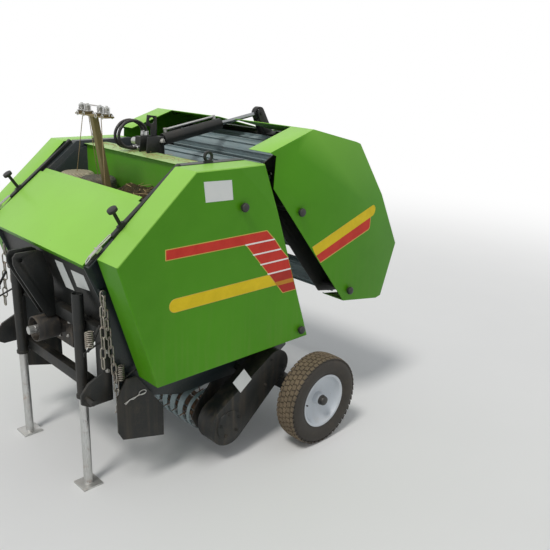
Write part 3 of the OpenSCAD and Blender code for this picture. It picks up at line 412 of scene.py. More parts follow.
def mix_finishes():
    """Every finish of the baler, by name."""
    c = colours()
    pale_ball = at(0.668, -0.308, 1.09)
    dark_ball = at(0.655, -0.140, 1.09)
    # Cover and lid paint turn to the lighter green on faces that look up, as painted light.
    painted_top_light = {"lit_top_colour": c.lit_top_green, "shine": 0.22}
    FINISHES.update({
        "green": paint("green_paint", c.green, 0.40, dust=0.03, low_dust=0.10, chips=0.006, **painted_top_light),
        "lid": paint("lid_paint", c.green, 0.40, dust=0.03, chips=0.006, **painted_top_light),
        # The box's upward faces turn to a paler green, as painted light.
        "box": paint("box_paint", c.green, 0.45, dust=0.16, chips=0.010, lit_top_colour=(0.42, 0.62, 0.24),
                     shine=0.22),
        "black": paint("black_paint", c.black, 0.46, dust=0.06, low_dust=0.12, low_z=0.25, chips=0.018,
                       waves=0.3, shine=0.40),
        "rail": paint("rail_paint", c.rail_grey, 0.34, dust=0.10, chips=0.012, waves=0.2),
        "silver": paint("rim_paint", c.silver, 0.36, dust=0.12, low_dust=0.16, low_z=0.05, chips=0.020,
                        waves=0.2),
        "post": paint("post_paint", c.post_tan, 0.62, dust=0.55, chips=0.090, waves=0.2),
        "cast": paint("cast_paint", (0.026, 0.025, 0.024), 0.55, dust=0.35, low_dust=0.3, low_z=0.35,
                      chips=0.050, waves=0.6),
        "roller": steel("roller_steel", c.roller_grey, 0.46, rust=0.06, dust=0.12, grain_turn=(30, 1, 30),
                        metal=0.25),
        "plated": steel("plated_steel", (0.52, 0.53, 0.52), 0.30, rust=0.14, dust=0.18),
        "bolt": steel("bolt_steel", (0.52, 0.52, 0.50), 0.30, rust=0.12, dust=0.14),
        "worn": steel("worn_steel", (0.16, 0.13, 0.10), 0.52, rust=0.45, dust=0.30, grain_turn=(1, 12, 1),
                      metal=0.6),
        "chain": steel("chain_steel", (0.32, 0.30, 0.26), 0.34, rust=0.22, dust=0.16, grain_turn=(8, 8, 8)),
        # The rod's chrome gets a dark grey base. This is painted shade, the rod as it looks in shade.
        "rod": steel("rod_chrome", (0.30, 0.32, 0.33), 0.16, rust=0.02, dust=0.05, grain_turn=(40, 40, 40)),
        "tyre": tyre_rubber(),
        "hose": moulded("hose_rubber", (0.013, 0.014, 0.015), 0.45, dust=0.07),
        "knob": moulded("knob_plastic", (0.014, 0.016, 0.016), 0.36, dust=0.05),
        "red": sticker("stripe_red", c.red),
        "yellow": sticker("stripe_yellow", c.yellow),
        "dark_red": sticker("stripe_dark_red", scaled(c.red, 0.72)),
        "orange": sticker("stripe_orange", (0.55, 0.24, 0.015), dust=0.08),
        "edge": sticker("stripe_edge", (0.66, 0.46, 0.10), dust=0.08),
        "white": sticker("stripe_white", (0.90, 0.86, 0.82), dust=0.04),
        "plate": sticker("blank_plate", (0.76, 0.79, 0.77), dust=0.20),
        "twine": wound_twine("twine_fibre", pale_ball, c.twine),
        "pale_twine": wound_twine("pale_twine_fibre", pale_ball, (0.42, 0.38, 0.27)),
        "dark_twine": wound_twine("dark_twine_fibre", dark_ball, (0.075, 0.080, 0.068)),
        "straw": straw(),
        "chaff": chaff(),
    })


# Making shapes

class Shape:
    """Corners and faces gathered from several plain forms."""

    def __init__(self):
        self.corners = []
        self.faces = []

    def add(self, corners, faces, matrix=None):
        """Adds corners, placed by a matrix, and faces that count from the first of them."""
        start = len(self.corners)
        for corner in corners:
            point = Vector(corner)
            self.corners.append(matrix @ point if matrix is not None else point)
        self.faces.extend([tuple(start + i for i in face) for face in faces])
        return self

    def lathe(self, profile, matrix, sides):
        """Turns a profile of (radius, height) pairs about the Z axis of the matrix."""
        corners = []
        faces = []
        rows = []
        for radius, height in profile:
            if radius < OWN_WELD:
                rows.append([len(corners)] * sides)
                corners.append((0, 0, height))
                continue
            rows.append([len(corners) + i for i in range(sides)])
            for i in range(sides):
                a = 2 * math.pi * i / sides
                corners.append((radius * math.cos(a), radius * math.sin(a), height))
        for low, high in zip(rows, rows[1:]):
            for i in range(sides):
                j = (i + 1) % sides
                ring = [low[i], low[j], high[j], high[i]]
                kept = [v for k, v in enumerate(ring) if v not in ring[:k]]
                if len(kept) > 2:
                    faces.append(tuple(kept))
        return self.add(corners, faces, matrix)

    def tube(self, points, radius, sides, closed=False):
        """A round wire along points."""
        points = [Vector(p) for p in points]
        count = len(points)
        corners = []
        faces = []
        last = None
        for i, point in enumerate(points):
            before = points[i - 1] if closed or i > 0 else points[i]
            after = points[(i + 1) % count] if closed or i < count - 1 else points[i]
            along = (after - before).normalized()
            if last is None:
                side = along.orthogonal().normalized()
            else:
                side = (last - along * last.dot(along)).normalized()
            last = side
            up = along.cross(side)
            for k in range(sides):
                a = 2 * math.pi * k / sides
                corners.append(point + radius * (math.cos(a) * side + math.sin(a) * up))
        for i in range(count if closed else count - 1):
            for k in range(sides):
                j = (k + 1) % sides
                n = (i + 1) % count
                faces.append((i * sides + k, i * sides + j, n * sides + j, n * sides + k))
        if not closed:
            faces.append(tuple(reversed(range(sides))))
            faces.append(tuple((count - 1) * sides + k for k in range(sides)))
        return self.add(corners, faces)

    def prism(self, outline, low, high):
        """A flat outline in X and Z, given a thickness along Y."""
        count = len(outline)
        corners = [Vector((x, low, z)) for x, z in outline] + [Vector((x, high, z)) for x, z in outline]
        faces = [tuple(range(count)), tuple(reversed(range(count, 2 * count)))]
        for i in range(count):
            j = (i + 1) % count
            faces.append((i, j, count + j, count + i))
        return self.add(corners, faces)

    def box(self, size, matrix):
        """A plain block round the matrix's origin."""
        x, y, z = (s / 2 for s in size)
        corners = [(a, b, c) for a in (-x, x) for b in (-y, y) for c in (-z, z)]
        faces = [(0, 1, 3, 2), (4, 6, 7, 5), (0, 4, 5, 1), (2, 3, 7, 6), (0, 2, 6, 4), (1, 5, 7, 3)]
        return self.add(corners, faces, matrix)

    def mesh(self, name, merge=True, sharp=32):
        """The finished mesh, smooth but for edges sharper than an angle in degrees."""
        mesh = bpy.data.meshes.new(name)
        mesh.from_pydata([tuple(c) for c in self.corners], [], self.faces)
        if merge:
            work = bmesh.new()
            work.from_mesh(mesh)
            bmesh.ops.remove_doubles(work, verts=work.verts, dist=OWN_WELD)
            bmesh.ops.recalc_face_normals(work, faces=work.faces)
            work.to_mesh(mesh)
            work.free()
        shade(mesh, sharp)
        return mesh

    def piece(self, name, finish, body, slot=None, replaces=(), sharp=32):
        """Puts the finished mesh into the scene as a piece that moves with a body."""
        mesh = self.mesh(name, sharp=sharp)
        mesh.materials.append(FINISHES[finish])
        made = bpy.data.objects.new(name, mesh)
        bpy.context.scene.collection.objects.link(made)
        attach(made, body)
        if replaces:
            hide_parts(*replaces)


def shade(mesh, sharp):
    """Smooth shading that breaks at edges sharper than an angle in degrees."""
    mesh.polygons.foreach_set("use_smooth", [True] * len(mesh.polygons))
    mesh.set_sharp_from_angle(angle=math.radians(sharp))
    mesh.update()


def baked(owner):
    """Turns an object's live modifiers into a plain mesh."""
    bpy.context.view_layer.update()
    graph = bpy.context.evaluated_depsgraph_get()
    mesh = bpy.data.meshes.new_from_object(owner.evaluated_get(graph))
    owner.modifiers.clear()
    old = owner.data
    owner.data = mesh
    if old.users == 0:
        bpy.data.meshes.remove(old)
    return mesh


def rounded(node, finish, body, width=0.0012, fold=None, limit=38):
    """A copy of a CAD node with small rounds on its edges, which then stands for it."""
    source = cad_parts[node]
    mesh = source.data.copy()
    mesh.materials.clear()
    work = bmesh.new()
    work.from_mesh(mesh)
    bmesh.ops.remove_doubles(work, verts=work.verts, dist=CAD_WELD)
    bmesh.ops.dissolve_limit(work, angle_limit=FLAT_BEND, verts=work.verts, edges=work.edges)
    weights = work.edges.layers.float.new("bevel_weight_edge")
    for edge in work.edges:
        if len(edge.link_faces) != 2:
            continue
        if edge.calc_face_angle(0.0) < math.radians(limit):
            continue
        edge[weights] = fold(edge) if fold else 1.0
    work.to_mesh(mesh)
    work.free()
    mesh.materials.append(FINISHES[finish])
    made = bpy.data.objects.new(node + "_finish", mesh)
    bpy.context.scene.collection.objects.link(made)
    bevel = made.modifiers.new("rounds", "BEVEL")
    bevel.width = width
    bevel.segments = 2
    bevel.limit_method = "WEIGHT"
    bevel.use_clamp_overlap = True
    done = baked(made)
    shade(done, 40)
    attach(made, body)
    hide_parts(node)
    return made


def dress(node, finish):
    """Gives a CAD node a finish and keeps its shape."""
    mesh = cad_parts[node].data
    if not mesh.materials:
        mesh.materials.append(FINISHES[finish])
    for index in range(len(mesh.materials)):
        mesh.materials[index] = FINISHES[finish]


def dress_parts(node, finish, test, rest):
    """Gives the faces of a CAD node whose middle passes a test one finish, and all others the rest's."""
    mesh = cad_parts[node].data
    while len(mesh.materials) < 2:
        mesh.materials.append(None)
    mesh.materials[0] = FINISHES[finish]
    mesh.materials[1] = FINISHES[rest]
    for face in mesh.polygons:
        face.material_index = 0 if test(face.center) else 1


def facing(point, direction):
    """A matrix whose Z axis points along direction."""
    turn = Vector(direction).normalized().to_track_quat("Z", "Y").to_matrix().to_4x4()
    return Matrix.Translation(Vector(point)) @ turn


def arc(centre, radius, start, end, steps):
    """Points on an arc in X and Z, by angle in degrees."""
    made = []
    for i in range(steps + 1):
        a = math.radians(start + (end - start) * i / steps)
        made.append((centre[0] + radius * math.cos(a), centre[1] + radius * math.sin(a)))
    return made


# Geometry Nodes for what repeats

class Repeat:
    """A Geometry Nodes tree whose sockets are named, built once and used on many objects."""

    def __init__(self, name, **inputs):
        self.tree = bpy.data.node_groups.new(name, "GeometryNodeTree")
        face = self.tree.interface
        face.new_socket("Geometry", in_out="OUTPUT", socket_type="NodeSocketGeometry")
        self.keys = {}
        for key, kind in {"Geometry": "Geometry", **inputs, "Finish": "Material"}.items():
            socket = face.new_socket(key, in_out="INPUT", socket_type="NodeSocket" + kind)
            self.keys[key] = socket.identifier
        self.entry = self.tree.nodes.new("NodeGroupInput")
        self.exit = self.tree.nodes.new("NodeGroupOutput")

    def add(self, kind, inputs=None, **settings):
        """Adds a node to the tree."""
        return add_node(self.tree, kind, inputs, settings)

    def carried(self, name, kind="FLOAT"):
        """A value that each point of the object's mesh carries."""
        made = self.add("GeometryNodeInputNamedAttribute", {"Name": name}, data_type=kind)
        return made.outputs["Attribute"]

    def own_way(self):
        """The turn that lays Z along each point's own direction."""
        way = self.carried("way", "FLOAT_VECTOR")
        return self.add("FunctionNodeAlignRotationToVector", {"Vector": way}, axis="Z").outputs[0]

    def shape(self):
        """The shape of the object that is given as the pattern."""
        given = self.entry.outputs["Pattern"]
        return self.add("GeometryNodeObjectInfo", {"Object": given}).outputs["Geometry"]

    def copies(self, points, shape, turn, scale=(1, 1, 1)):
        """Copies of a shape on points."""
        return self.add("GeometryNodeInstanceOnPoints", {"Points": points, "Instance": shape,
                                                         "Rotation": turn, "Scale": scale}).outputs[0]

    def close(self, geometry):
        """Ends the tree in real geometry with one finish."""
        real = self.add("GeometryNodeRealizeInstances", {"Geometry": geometry}).outputs[0]
        finish = self.entry.outputs["Finish"]
        painted = self.add("GeometryNodeSetMaterial", {"Geometry": real, "Material": finish})
        self.tree.links.new(painted.outputs[0], self.exit.inputs[0])

    def use(self, name, mesh, body, finish, slot=None, replaces=(), **values):
        """Runs the tree on a mesh and keeps the result as one plain piece."""
        made = bpy.data.objects.new(name, mesh)
        bpy.context.scene.collection.objects.link(made)
        live = made.modifiers.new("repeat", "NODES")
        live.node_group = self.tree
        live[self.keys["Finish"]] = FINISHES[finish]
        for key, value in values.items():
            live[self.keys[key]] = value
        baked(made)
        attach(made, body)
        if replaces:
            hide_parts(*replaces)


def tree_round():
    """Repeats the object's own mesh round the Y axis through a centre."""
    r = Repeat("repeat_round", Count="Int", Centre="Vector")
    e = r.entry.outputs
    back = r.add("ShaderNodeVectorMath", {0: e["Centre"], 1: (-1, -1, -1)}, operation="MULTIPLY").outputs[0]
    moved = r.add("GeometryNodeTransform", {"Geometry": e["Geometry"], "Translation": back}).outputs[0]
    points = r.add("GeometryNodePoints", {"Count": e["Count"]}).outputs[0]
    index = r.add("GeometryNodeInputIndex").outputs[0]
    step = r.add("ShaderNodeMath", {0: 2 * math.pi, 1: e["Count"]}, operation="DIVIDE").outputs[0]
    angle = r.add("ShaderNodeMath", {0: index, 1: step}, operation="MULTIPLY").outputs[0]
    turn = r.add("ShaderNodeCombineXYZ", {"Y": angle}).outputs[0]
    ring = r.copies(points, moved, turn)
    r.close(r.add("GeometryNodeTransform", {"Geometry": ring, "Translation": e["Centre"]}).outputs[0])
    return r


def tree_facing():
    """Puts a pattern mesh on every point of the object's mesh, turned to the point's own direction."""
    r = Repeat("repeat_facing", Pattern="Object")
    points = r.add("GeometryNodeMeshToPoints", {"Mesh": r.entry.outputs["Geometry"]}).outputs[0]
    roll = r.add("ShaderNodeCombineXYZ", {"Z": r.carried("roll")}).outputs[0]
    turn = r.add("FunctionNodeRotateRotation", {"Rotation": r.own_way(), "Rotate By": roll},
                 rotation_space="LOCAL").outputs[0]
    r.close(r.copies(points, r.shape(), turn, r.carried("size")))
    return r


def tree_litter():
    """Scatters bits of a pattern over the object's mesh, turned at random from a fixed seed."""
    r = Repeat("scatter_bits", Pattern="Object", Density="Float")
    e = r.entry.outputs
    points = r.add("GeometryNodeDistributePointsOnFaces",
                   {"Mesh": e["Geometry"], "Density": e["Density"], "Seed": 7}).outputs["Points"]
    low = (-0.16, -0.16, 0.0)
    high = (0.16, 0.16, 2 * math.pi)
    turn = r.add("FunctionNodeRandomValue", {0: low, 1: high, "Seed": 3}, data_type="FLOAT_VECTOR").outputs[0]
    scale = r.add("FunctionNodeRandomValue", {2: 0.45, 3: 1.25, "Seed": 5}, data_type="FLOAT").outputs[1]
    r.close(r.copies(points, r.shape(), turn, scale))
    return r


def tree_coil():
    """Lays a coil spring on each point of the object's mesh, along the point's own direction."""
    r = Repeat("coil_springs", Turns="Float", Radius="Float", Height="Float", Wire="Float")
    e = r.entry.outputs
    spiral = r.add("GeometryNodeCurveSpiral", {"Resolution": 14, "Rotations": e["Turns"],
                                               "Start Radius": e["Radius"], "End Radius": e["Radius"],
                                               "Height": e["Height"]}).outputs[0]
    ring = r.add("GeometryNodeCurvePrimitiveCircle", {"Resolution": 6, "Radius": e["Wire"]}).outputs[0]
    coil = r.add("GeometryNodeCurveToMesh",
                 {"Curve": spiral, "Profile Curve": ring, "Fill Caps": True}).outputs[0]
    smooth = r.add("GeometryNodeSetShadeSmooth", {"Geometry": coil}).outputs[0]
    points = r.add("GeometryNodeMeshToPoints", {"Mesh": e["Geometry"]}).outputs[0]
    r.close(r.copies(points, smooth, r.own_way()))
    return r


TREES = {}
PATTERNS = {}


def grow_trees():
    """Builds each tree once."""
    TREES.update({
        "round": tree_round(),
        "facing": tree_facing(),
        "litter": tree_litter(),
        "coil": tree_coil(),
    })


def pattern(name, mesh):
    """Keeps a shape that the trees repeat, out of the scene."""
    PATTERNS[name] = bpy.data.objects.new(name, mesh)


def seeds(name, rows):
    """Points with a direction, a size and a roll each."""
    mesh = bpy.data.meshes.new(name)
    mesh.from_pydata([tuple(row[0]) for row in rows], [], [])
    way = mesh.attributes.new("way", "FLOAT_VECTOR", "POINT")
    size = mesh.attributes.new("size", "FLOAT", "POINT")
    roll = mesh.attributes.new("roll", "FLOAT", "POINT")
    for i, row in enumerate(rows):
        way.data[i].vector = row[1]
        size.data[i].value = row[2] if len(row) > 2 else 1.0
        roll.data[i].value = row[3] if len(row) > 3 else 0.0
    return mesh


def hex_bolt_mesh():
    """A 10 mm bolt head on its washer, with the tip of the thread in front."""
    washer = [(0.0, 0.0), (0.0105, 0.0), (0.0105, 0.0016), (0.0088, 0.0019)]
    head = [(0.0086, 0.0018), (0.0092, 0.0026), (0.0092, 0.0074), (0.0084, 0.0084), (0.0, 0.0084)]
    thread = [(0.0048, 0.008), (0.0048, 0.0112), (0.0042, 0.0118), (0.0, 0.0118)]
    shape = Shape()
    for profile, sides in ((washer, 20), (head, 6), (thread, 12)):
        shape.lathe(profile, Matrix(), sides)
    return shape.mesh("hex_bolt", sharp=25)


def chain_link_mesh():
    """A round-wire chain link, long along Z and flat in X."""
    half = 0.0145
    bend = 0.0095
    points = []
    for start, middle in ((0.0, half), (math.pi, -half)):
        for k in range(9):
            a = start + math.pi * k / 8
            points.append((bend * math.cos(a), 0, middle + bend * math.sin(a)))
    link = Shape().tube(points, sizes().link_wire / 2, 8, closed=True)
    return link.mesh("chain_link", merge=False, sharp=80)


def bolts(name, body, rows, finish="bolt"):
    """Bolt heads on rows of place, direction, size and roll."""
    TREES["facing"].use(name, seeds(name, rows), body, finish, Pattern=PATTERNS["hex_bolt"])


# Operators, one for each piece or group

class BALER_OT_finishes(bpy.types.Operator):
    """Mix the paints, metals, rubber and twine, and grow the repeating trees"""

    bl_idname = "baler.finishes"
    bl_label = "Finishes"

    def execute(self, context):
        mix_finishes()
        grow_trees()
        pattern("hex_bolt", hex_bolt_mesh())
        pattern("chain_link", chain_link_mesh())
        return {"FINISHED"}


class BALER_OT_stage(bpy.types.Operator):
    """Set the pale floor, the soft light and the camera"""

    bl_idname = "baler.stage"
    bl_label = "Studio"

    def execute(self, context):
        scene = context.scene
        scene.view_settings.view_transform = "Standard"
        self.floor(scene)
        self.daylight(scene)
        self.sun(scene, "key_sun", (0.50, 0.16, 0.85), 1.45, 14.0, (1.0, 0.98, 0.95))
        self.camera(scene)
        return {"FINISHED"}

    def floor(self, scene):
        """A wide pale floor that keeps the baler's shadow."""
        reach = 14.0
        mesh = bpy.data.meshes.new("studio_floor")
        corners = [(x * reach, y * reach, 0) for x, y in ((-1, -1), (1, -1), (1, 1), (-1, 1))]
        mesh.from_pydata(corners, [], [(0, 1, 2, 3)])
        n = Nodes("floor_white")
        tone = n.mix(n.noise(n.place(), 1.2, 3.0), (0.78, 0.78, 0.77, 1), (0.82, 0.82, 0.81, 1))
        n.finish(tone, 0.9)
        self.fade(n)
        mesh.materials.append(n.material)
        made = bpy.data.objects.new("studio_floor", mesh)
        scene.collection.objects.link(made)

    def daylight(self, scene):
        """Even light from all round, with plain white where the camera and mirrored rays see it."""
        world = bpy.data.worlds.new("studio_world")
        scene.world = world
        world.use_nodes = True
        tree = world.node_tree
        tree.nodes.clear()
        light = add_node(tree, "ShaderNodeBackground", {"Color": (0.93, 0.96, 1.0, 1.0), "Strength": 0.50})
        white = add_node(tree, "ShaderNodeBackground", {"Color": WHITE, "Strength": 1.0})
        path = add_node(tree, "ShaderNodeLightPath").outputs
        through = add_node(tree, "ShaderNodeMath",
                           {0: path["Is Glossy Ray"], 1: path["Is Transmission Ray"]},
                           {"operation": "MAXIMUM"}).outputs[0]
        seen = add_node(tree, "ShaderNodeMath", {0: path["Is Camera Ray"], 1: through},
                        {"operation": "MAXIMUM"}).outputs[0]
        mix = add_node(tree, "ShaderNodeMixShader", {0: seen, 1: light.outputs[0], 2: white.outputs[0]})
        add_node(tree, "ShaderNodeOutputWorld", {"Surface": mix.outputs[0]})

    def fade(self, n):
        """Let the far floor pass into the white background, for the camera only."""
        output = next(node for node in n.tree.nodes if node.type == "OUTPUT_MATERIAL")
        near = output.inputs["Surface"].links[0].from_socket
        away = n.add("ShaderNodeVectorMath", {0: n.place()}, operation="LENGTH").outputs["Value"]
        seen = n.add("ShaderNodeLightPath").outputs["Is Camera Ray"]
        smooth = n.add("ShaderNodeMapRange", {"Value": away, "From Min": 2.2, "From Max": 7.5},
                       interpolation_type="SMOOTHERSTEP").outputs["Result"]
        white = n.add("ShaderNodeEmission", {"Color": WHITE, "Strength": 1.0}).outputs[0]
        far = n.add("ShaderNodeMixShader", {0: n.math("MULTIPLY", smooth, seen), 1: near, 2: white})
        n.tree.links.new(far.outputs[0], output.inputs["Surface"])

    def sun(self, scene, name, way, power, spread, tint):
        """A soft sun that shines from the given direction."""
        data = bpy.data.lights.new(name, "SUN")
        data.angle = math.radians(spread)
        data.energy = power
        data.color = tint
        lamp = bpy.data.objects.new(name, data)
        lamp.location = Vector(way) * 6.0
        lamp.rotation_euler = (-Vector(way)).to_track_quat("-Z", "Y").to_euler()
        scene.collection.objects.link(lamp)

    def camera(self, scene):
        """The view of the photograph, as fitted to the baler's straight edges."""
        data = bpy.data.cameras.new("photo_view")
        data.lens = 43.83
        data.sensor_width = 36.0
        data.shift_x = -0.0141
        data.shift_y = 0.0126
        data.clip_start = 0.05
        data.clip_end = 200.0
        view = bpy.data.objects.new("photo_view", data)
        right = Vector((-0.71607051, 0.69693302, 0.03908176))
        up = Vector((-0.19414837, -0.25263384, 0.9478832))
        back = right.cross(up)
        turn = Matrix((right, up, back)).transposed()
        view.rotation_euler = turn.to_euler()
        view.location = at(2.162, 2.561, 1.751)
        scene.collection.objects.link(view)
        scene.camera = view


class BALER_OT_side_covers(bpy.types.Operator):
    """Round the edges of the four green side covers, bend the dent into one, and set their black knobs"""

    bl_idname = "baler.side_covers"
    bl_label = "Side covers"

    def execute(self, context):
        sheet = 0.003
        slack = 0.0002
        fold_radius = sizes().fold_radius

        def fold(edge):
            """Full rounds on the outer folds, smaller ones inside them and on the rims."""
            reach = min(abs(v.co.y) for v in edge.verts)
            if reach > COVER_Y - slack:
                return 1.0
            if reach > COVER_Y - sheet - slack:
                return 0.35
            return 0.12

        for half, body in (("front", "frame"), ("gate", "tailgate")):
            for side in ("left", "right"):
                made = rounded(f"cover_{half}_{side}", "green", body, fold_radius, fold)
                if (half, side) == ("front", "left"):
                    self.crease(made.data)
        front = [(0.425, 1.183), (0.061, 0.561)]
        gate = [gate_turn(0.145, 1.085), gate_turn(-0.051, 0.547)]
        for body, spots in (("frame", front), ("tailgate", gate)):
            shape = Shape()
            for side in SIDES:
                for x, z in spots:
                    self.knob(shape, x, z, side)
            shape.piece(f"cover_knobs_{body}", "knob", body)
        return {"FINISHED"}

    def crease(self, mesh):
        """The dent of the photographed machine: the upper rear corner is bent in along one line."""
        deepest = 0.0100
        steepness = 0.20
        on_line = 1e-5
        skin = 0.05
        low = at(0.221, 0.0, 1.131)
        high = at(0.441, 0.0, 1.338)
        across = (high - low).cross(Vector((0, 1, 0))).normalized()
        if (at(0.301, 0.0, 1.343) - low).dot(across) < 0:
            across = -across
        work = bmesh.new()
        work.from_mesh(mesh)
        everything = work.verts[:] + work.edges[:] + work.faces[:]
        bmesh.ops.bisect_plane(work, geom=everything, plane_co=low, plane_no=across)
        for corner in work.verts:
            reach = (corner.co - low).dot(across)
            if reach > on_line and corner.co.y > COVER_Y - skin:
                corner.co.y -= min(deepest, steepness * reach)
        work.to_mesh(mesh)
        work.free()
        shade(mesh, 5)

    def knob(self, shape, x, z, side):
        """A round knob with a soft rim on a short neck."""
        r = sizes().knob_radius
        neck = 0.011
        profile = [(0.0, 0.0), (neck, 0.0), (neck, 0.005), (r * 0.8, 0.007), (r * 0.98, 0.010), (r, 0.014),
                   (r * 0.97, 0.019), (r * 0.8, 0.0225), (r * 0.45, 0.024), (0.0, 0.0244)]
        shape.lathe(profile, facing(at(x, side * COVER_Y, z), (0, side, 0)), 28)


class BALER_OT_stripes(bpy.types.Operator):
    """Lay the red and yellow stripes and the blank plates on the covers"""

    bl_idname = "baler.stripes"
    bl_label = "Stripes and blank plates"
    # Two ends of each cover's edge at the joint, and the side on which the cover lies
    JOINTS = {
        "frame": ((0.007, 0.516), (0.301, 1.343), 1),
        "tailgate": ((-0.242, 0.634), (0.2569, 1.2376), -1),
    }

    def execute(self, context):
        self.front_stripes()
        self.gate_stripes()
        cover_plate = [(0.622, 1.302), (0.485, 1.297), (0.476, 1.218), (0.612, 1.222)]
        self.foil("blank_cover_plate", "frame", [cover_plate], "plate", 0, (1,))
        self.front_plates()
        return {"FINISHED"}

    def front_stripes(self):
        """Red and yellow bands of the front covers, which meet in steps parted by white lines."""
        right = [(0.288, 1.068), (0.239, 1.021), (0.199, 0.971), (0.151, 0.922), (0.103, 0.870),
                 (0.086, 0.820)]
        red = [(0.800, 1.024), (0.800, 1.068)] + right + [(0.075, 0.765), (0.1815, 0.765), (0.405, 1.021)]
        inner = [(0.2895, 1.0645), (0.242, 1.018), (0.2035, 0.9705), (0.155, 0.922), (0.1065, 0.8695),
                 (0.090, 0.820)]
        red_inner = [(0.796, 1.0275), (0.796, 1.0645)] + inner
        red_inner += [(0.0795, 0.7685), (0.1800, 0.7685), (0.4035, 1.0245)]
        yellow = arc((0.758, 0.8395), 0.0285, 90, -90, 10) + [(0.2217, 0.811), (0.2714, 0.868)]
        yellow_inner = arc((0.758, 0.8395), 0.0265, 90, -90, 10) + [(0.2232, 0.813), (0.2694, 0.866)]
        self.foil("stripe_front_edge", "frame", [red, yellow], "edge", 0)
        self.foil("stripe_front_red", "frame", [red_inner], "red", 1)
        self.foil("stripe_front_yellow", "frame", [yellow_inner], "yellow", 1)
        low_red = [(0.1050, 0.8685), (0.090, 0.820), (0.0795, 0.7685), (0.1800, 0.7685), (0.2672, 0.8685)]
        self.foil("stripe_front_low_red", "frame", [low_red], "dark_red", 2)
        bands = [((0.4060, 0.240), 1.022), ((0.3622, 0.200), 0.972), ((0.3186, 0.152), 0.922),
                 ((0.2745, 0.104), 0.8715)]
        half = 0.0032
        lines = [[(a, z - half), (a + 0.0056, z + half), (b + 0.005, z + half), (b, z - half)]
                 for (a, b), z in bands]
        self.foil("stripe_front_white", "frame", lines, "white", 3)
        orange = [(0.2180, 0.807), (0.2346, 0.826), (0.0885, 0.826), (0.0835, 0.807)]
        self.foil("stripe_front_orange", "frame", [orange], "orange", 3)

    def gate_stripes(self):
        """The bands' pointed end on the tailgate covers."""
        tip = [(-0.425, 1.039), (-0.434, 1.050), (-0.438, 1.064), (-0.436, 1.078), (-0.429, 1.087),
               (-0.418, 1.091)]
        edge = [(0.004, 0.947), (-0.0525, 0.8585), (-0.397, 0.969), (-0.4065, 0.980), (-0.4075, 1.033)]
        yellow = [(0.0025, 0.9445), (-0.023, 0.9005)]
        red = [(-0.0232, 0.8998), (-0.0485, 0.8625), (-0.3950, 0.9735), (-0.4030, 0.983),
               (-0.4040, 1.0312)]
        self.foil("stripe_gate_edge", "tailgate", [edge + tip], "edge", 0)
        self.foil("stripe_gate_yellow", "tailgate", [yellow + tip], "yellow", 1)
        self.foil("stripe_gate_red", "tailgate", [red], "red", 1)

    def trimmed(self, outline, body, margin):
        """The part of an outline that lies on the cover, off the edge at the joint of the two covers."""
        low, high, keep = self.JOINTS[body]
        across = Vector((high[1] - low[1], low[0] - high[0])).normalized() * keep
        inside = [(Vector(p) - Vector(low)).dot(across) - margin for p in outline]
        made = []
        for i, (point, reach) in enumerate(zip(outline, inside)):
            before = inside[i - 1]
            if (before > 0) != (reach > 0):
                made.append(tuple(Vector(outline[i - 1]).lerp(Vector(point), before / (before - reach))))
            if reach > 0:
                made.append(point)
        return made

    def foil(self, name, body, outlines, finish, layer, sides=SIDES):
        """Thin foil with a real edge on the flat of the covers."""
        margin = 0.003 if layer == 0 else 0.0045
        sunk = 0.0002
        low = COVER_Y - sunk
        high = COVER_Y + sizes().decal_lift * (layer + 1)
        outlines = [self.trimmed(outline, body, margin) for outline in outlines]
        shape = Shape()
        for side in sides:
            for outline in outlines:
                placed = [(x + AXLE_X, z) for x, z in outline]
                shape.prism(placed, side * low, side * high)
        shape.piece(name, finish, body)

    def front_plates(self):
        """Two blank plates on the leaning part of the black front sheet."""
        foot_x = 0.944
        foot_z = 0.787
        lean = 0.3371
        out = Vector((0.9476, 0.0, -0.3195))
        outlines = (((0.101, 0.952), (0.168, 0.955), (0.171, 0.830), (0.098, 0.826)),
                    ((0.223, 0.939), (0.325, 0.942), (0.326, 0.876), (0.217, 0.863)))
        shape = Shape()
        for outline in outlines:
            rim = [at(foot_x + (z - foot_z) * lean, y, z) for y, z in outline]
            corners = [p - out * 0.0003 for p in rim] + [p + out * 0.0010 for p in rim]
            walls = [(i, (i + 1) % 4, (i + 1) % 4 + 4, i + 4) for i in range(4)]
            shape.add(corners, [(3, 2, 1, 0), (4, 5, 6, 7)] + walls)
        shape.piece("blank_front_plates", "plate", "frame")


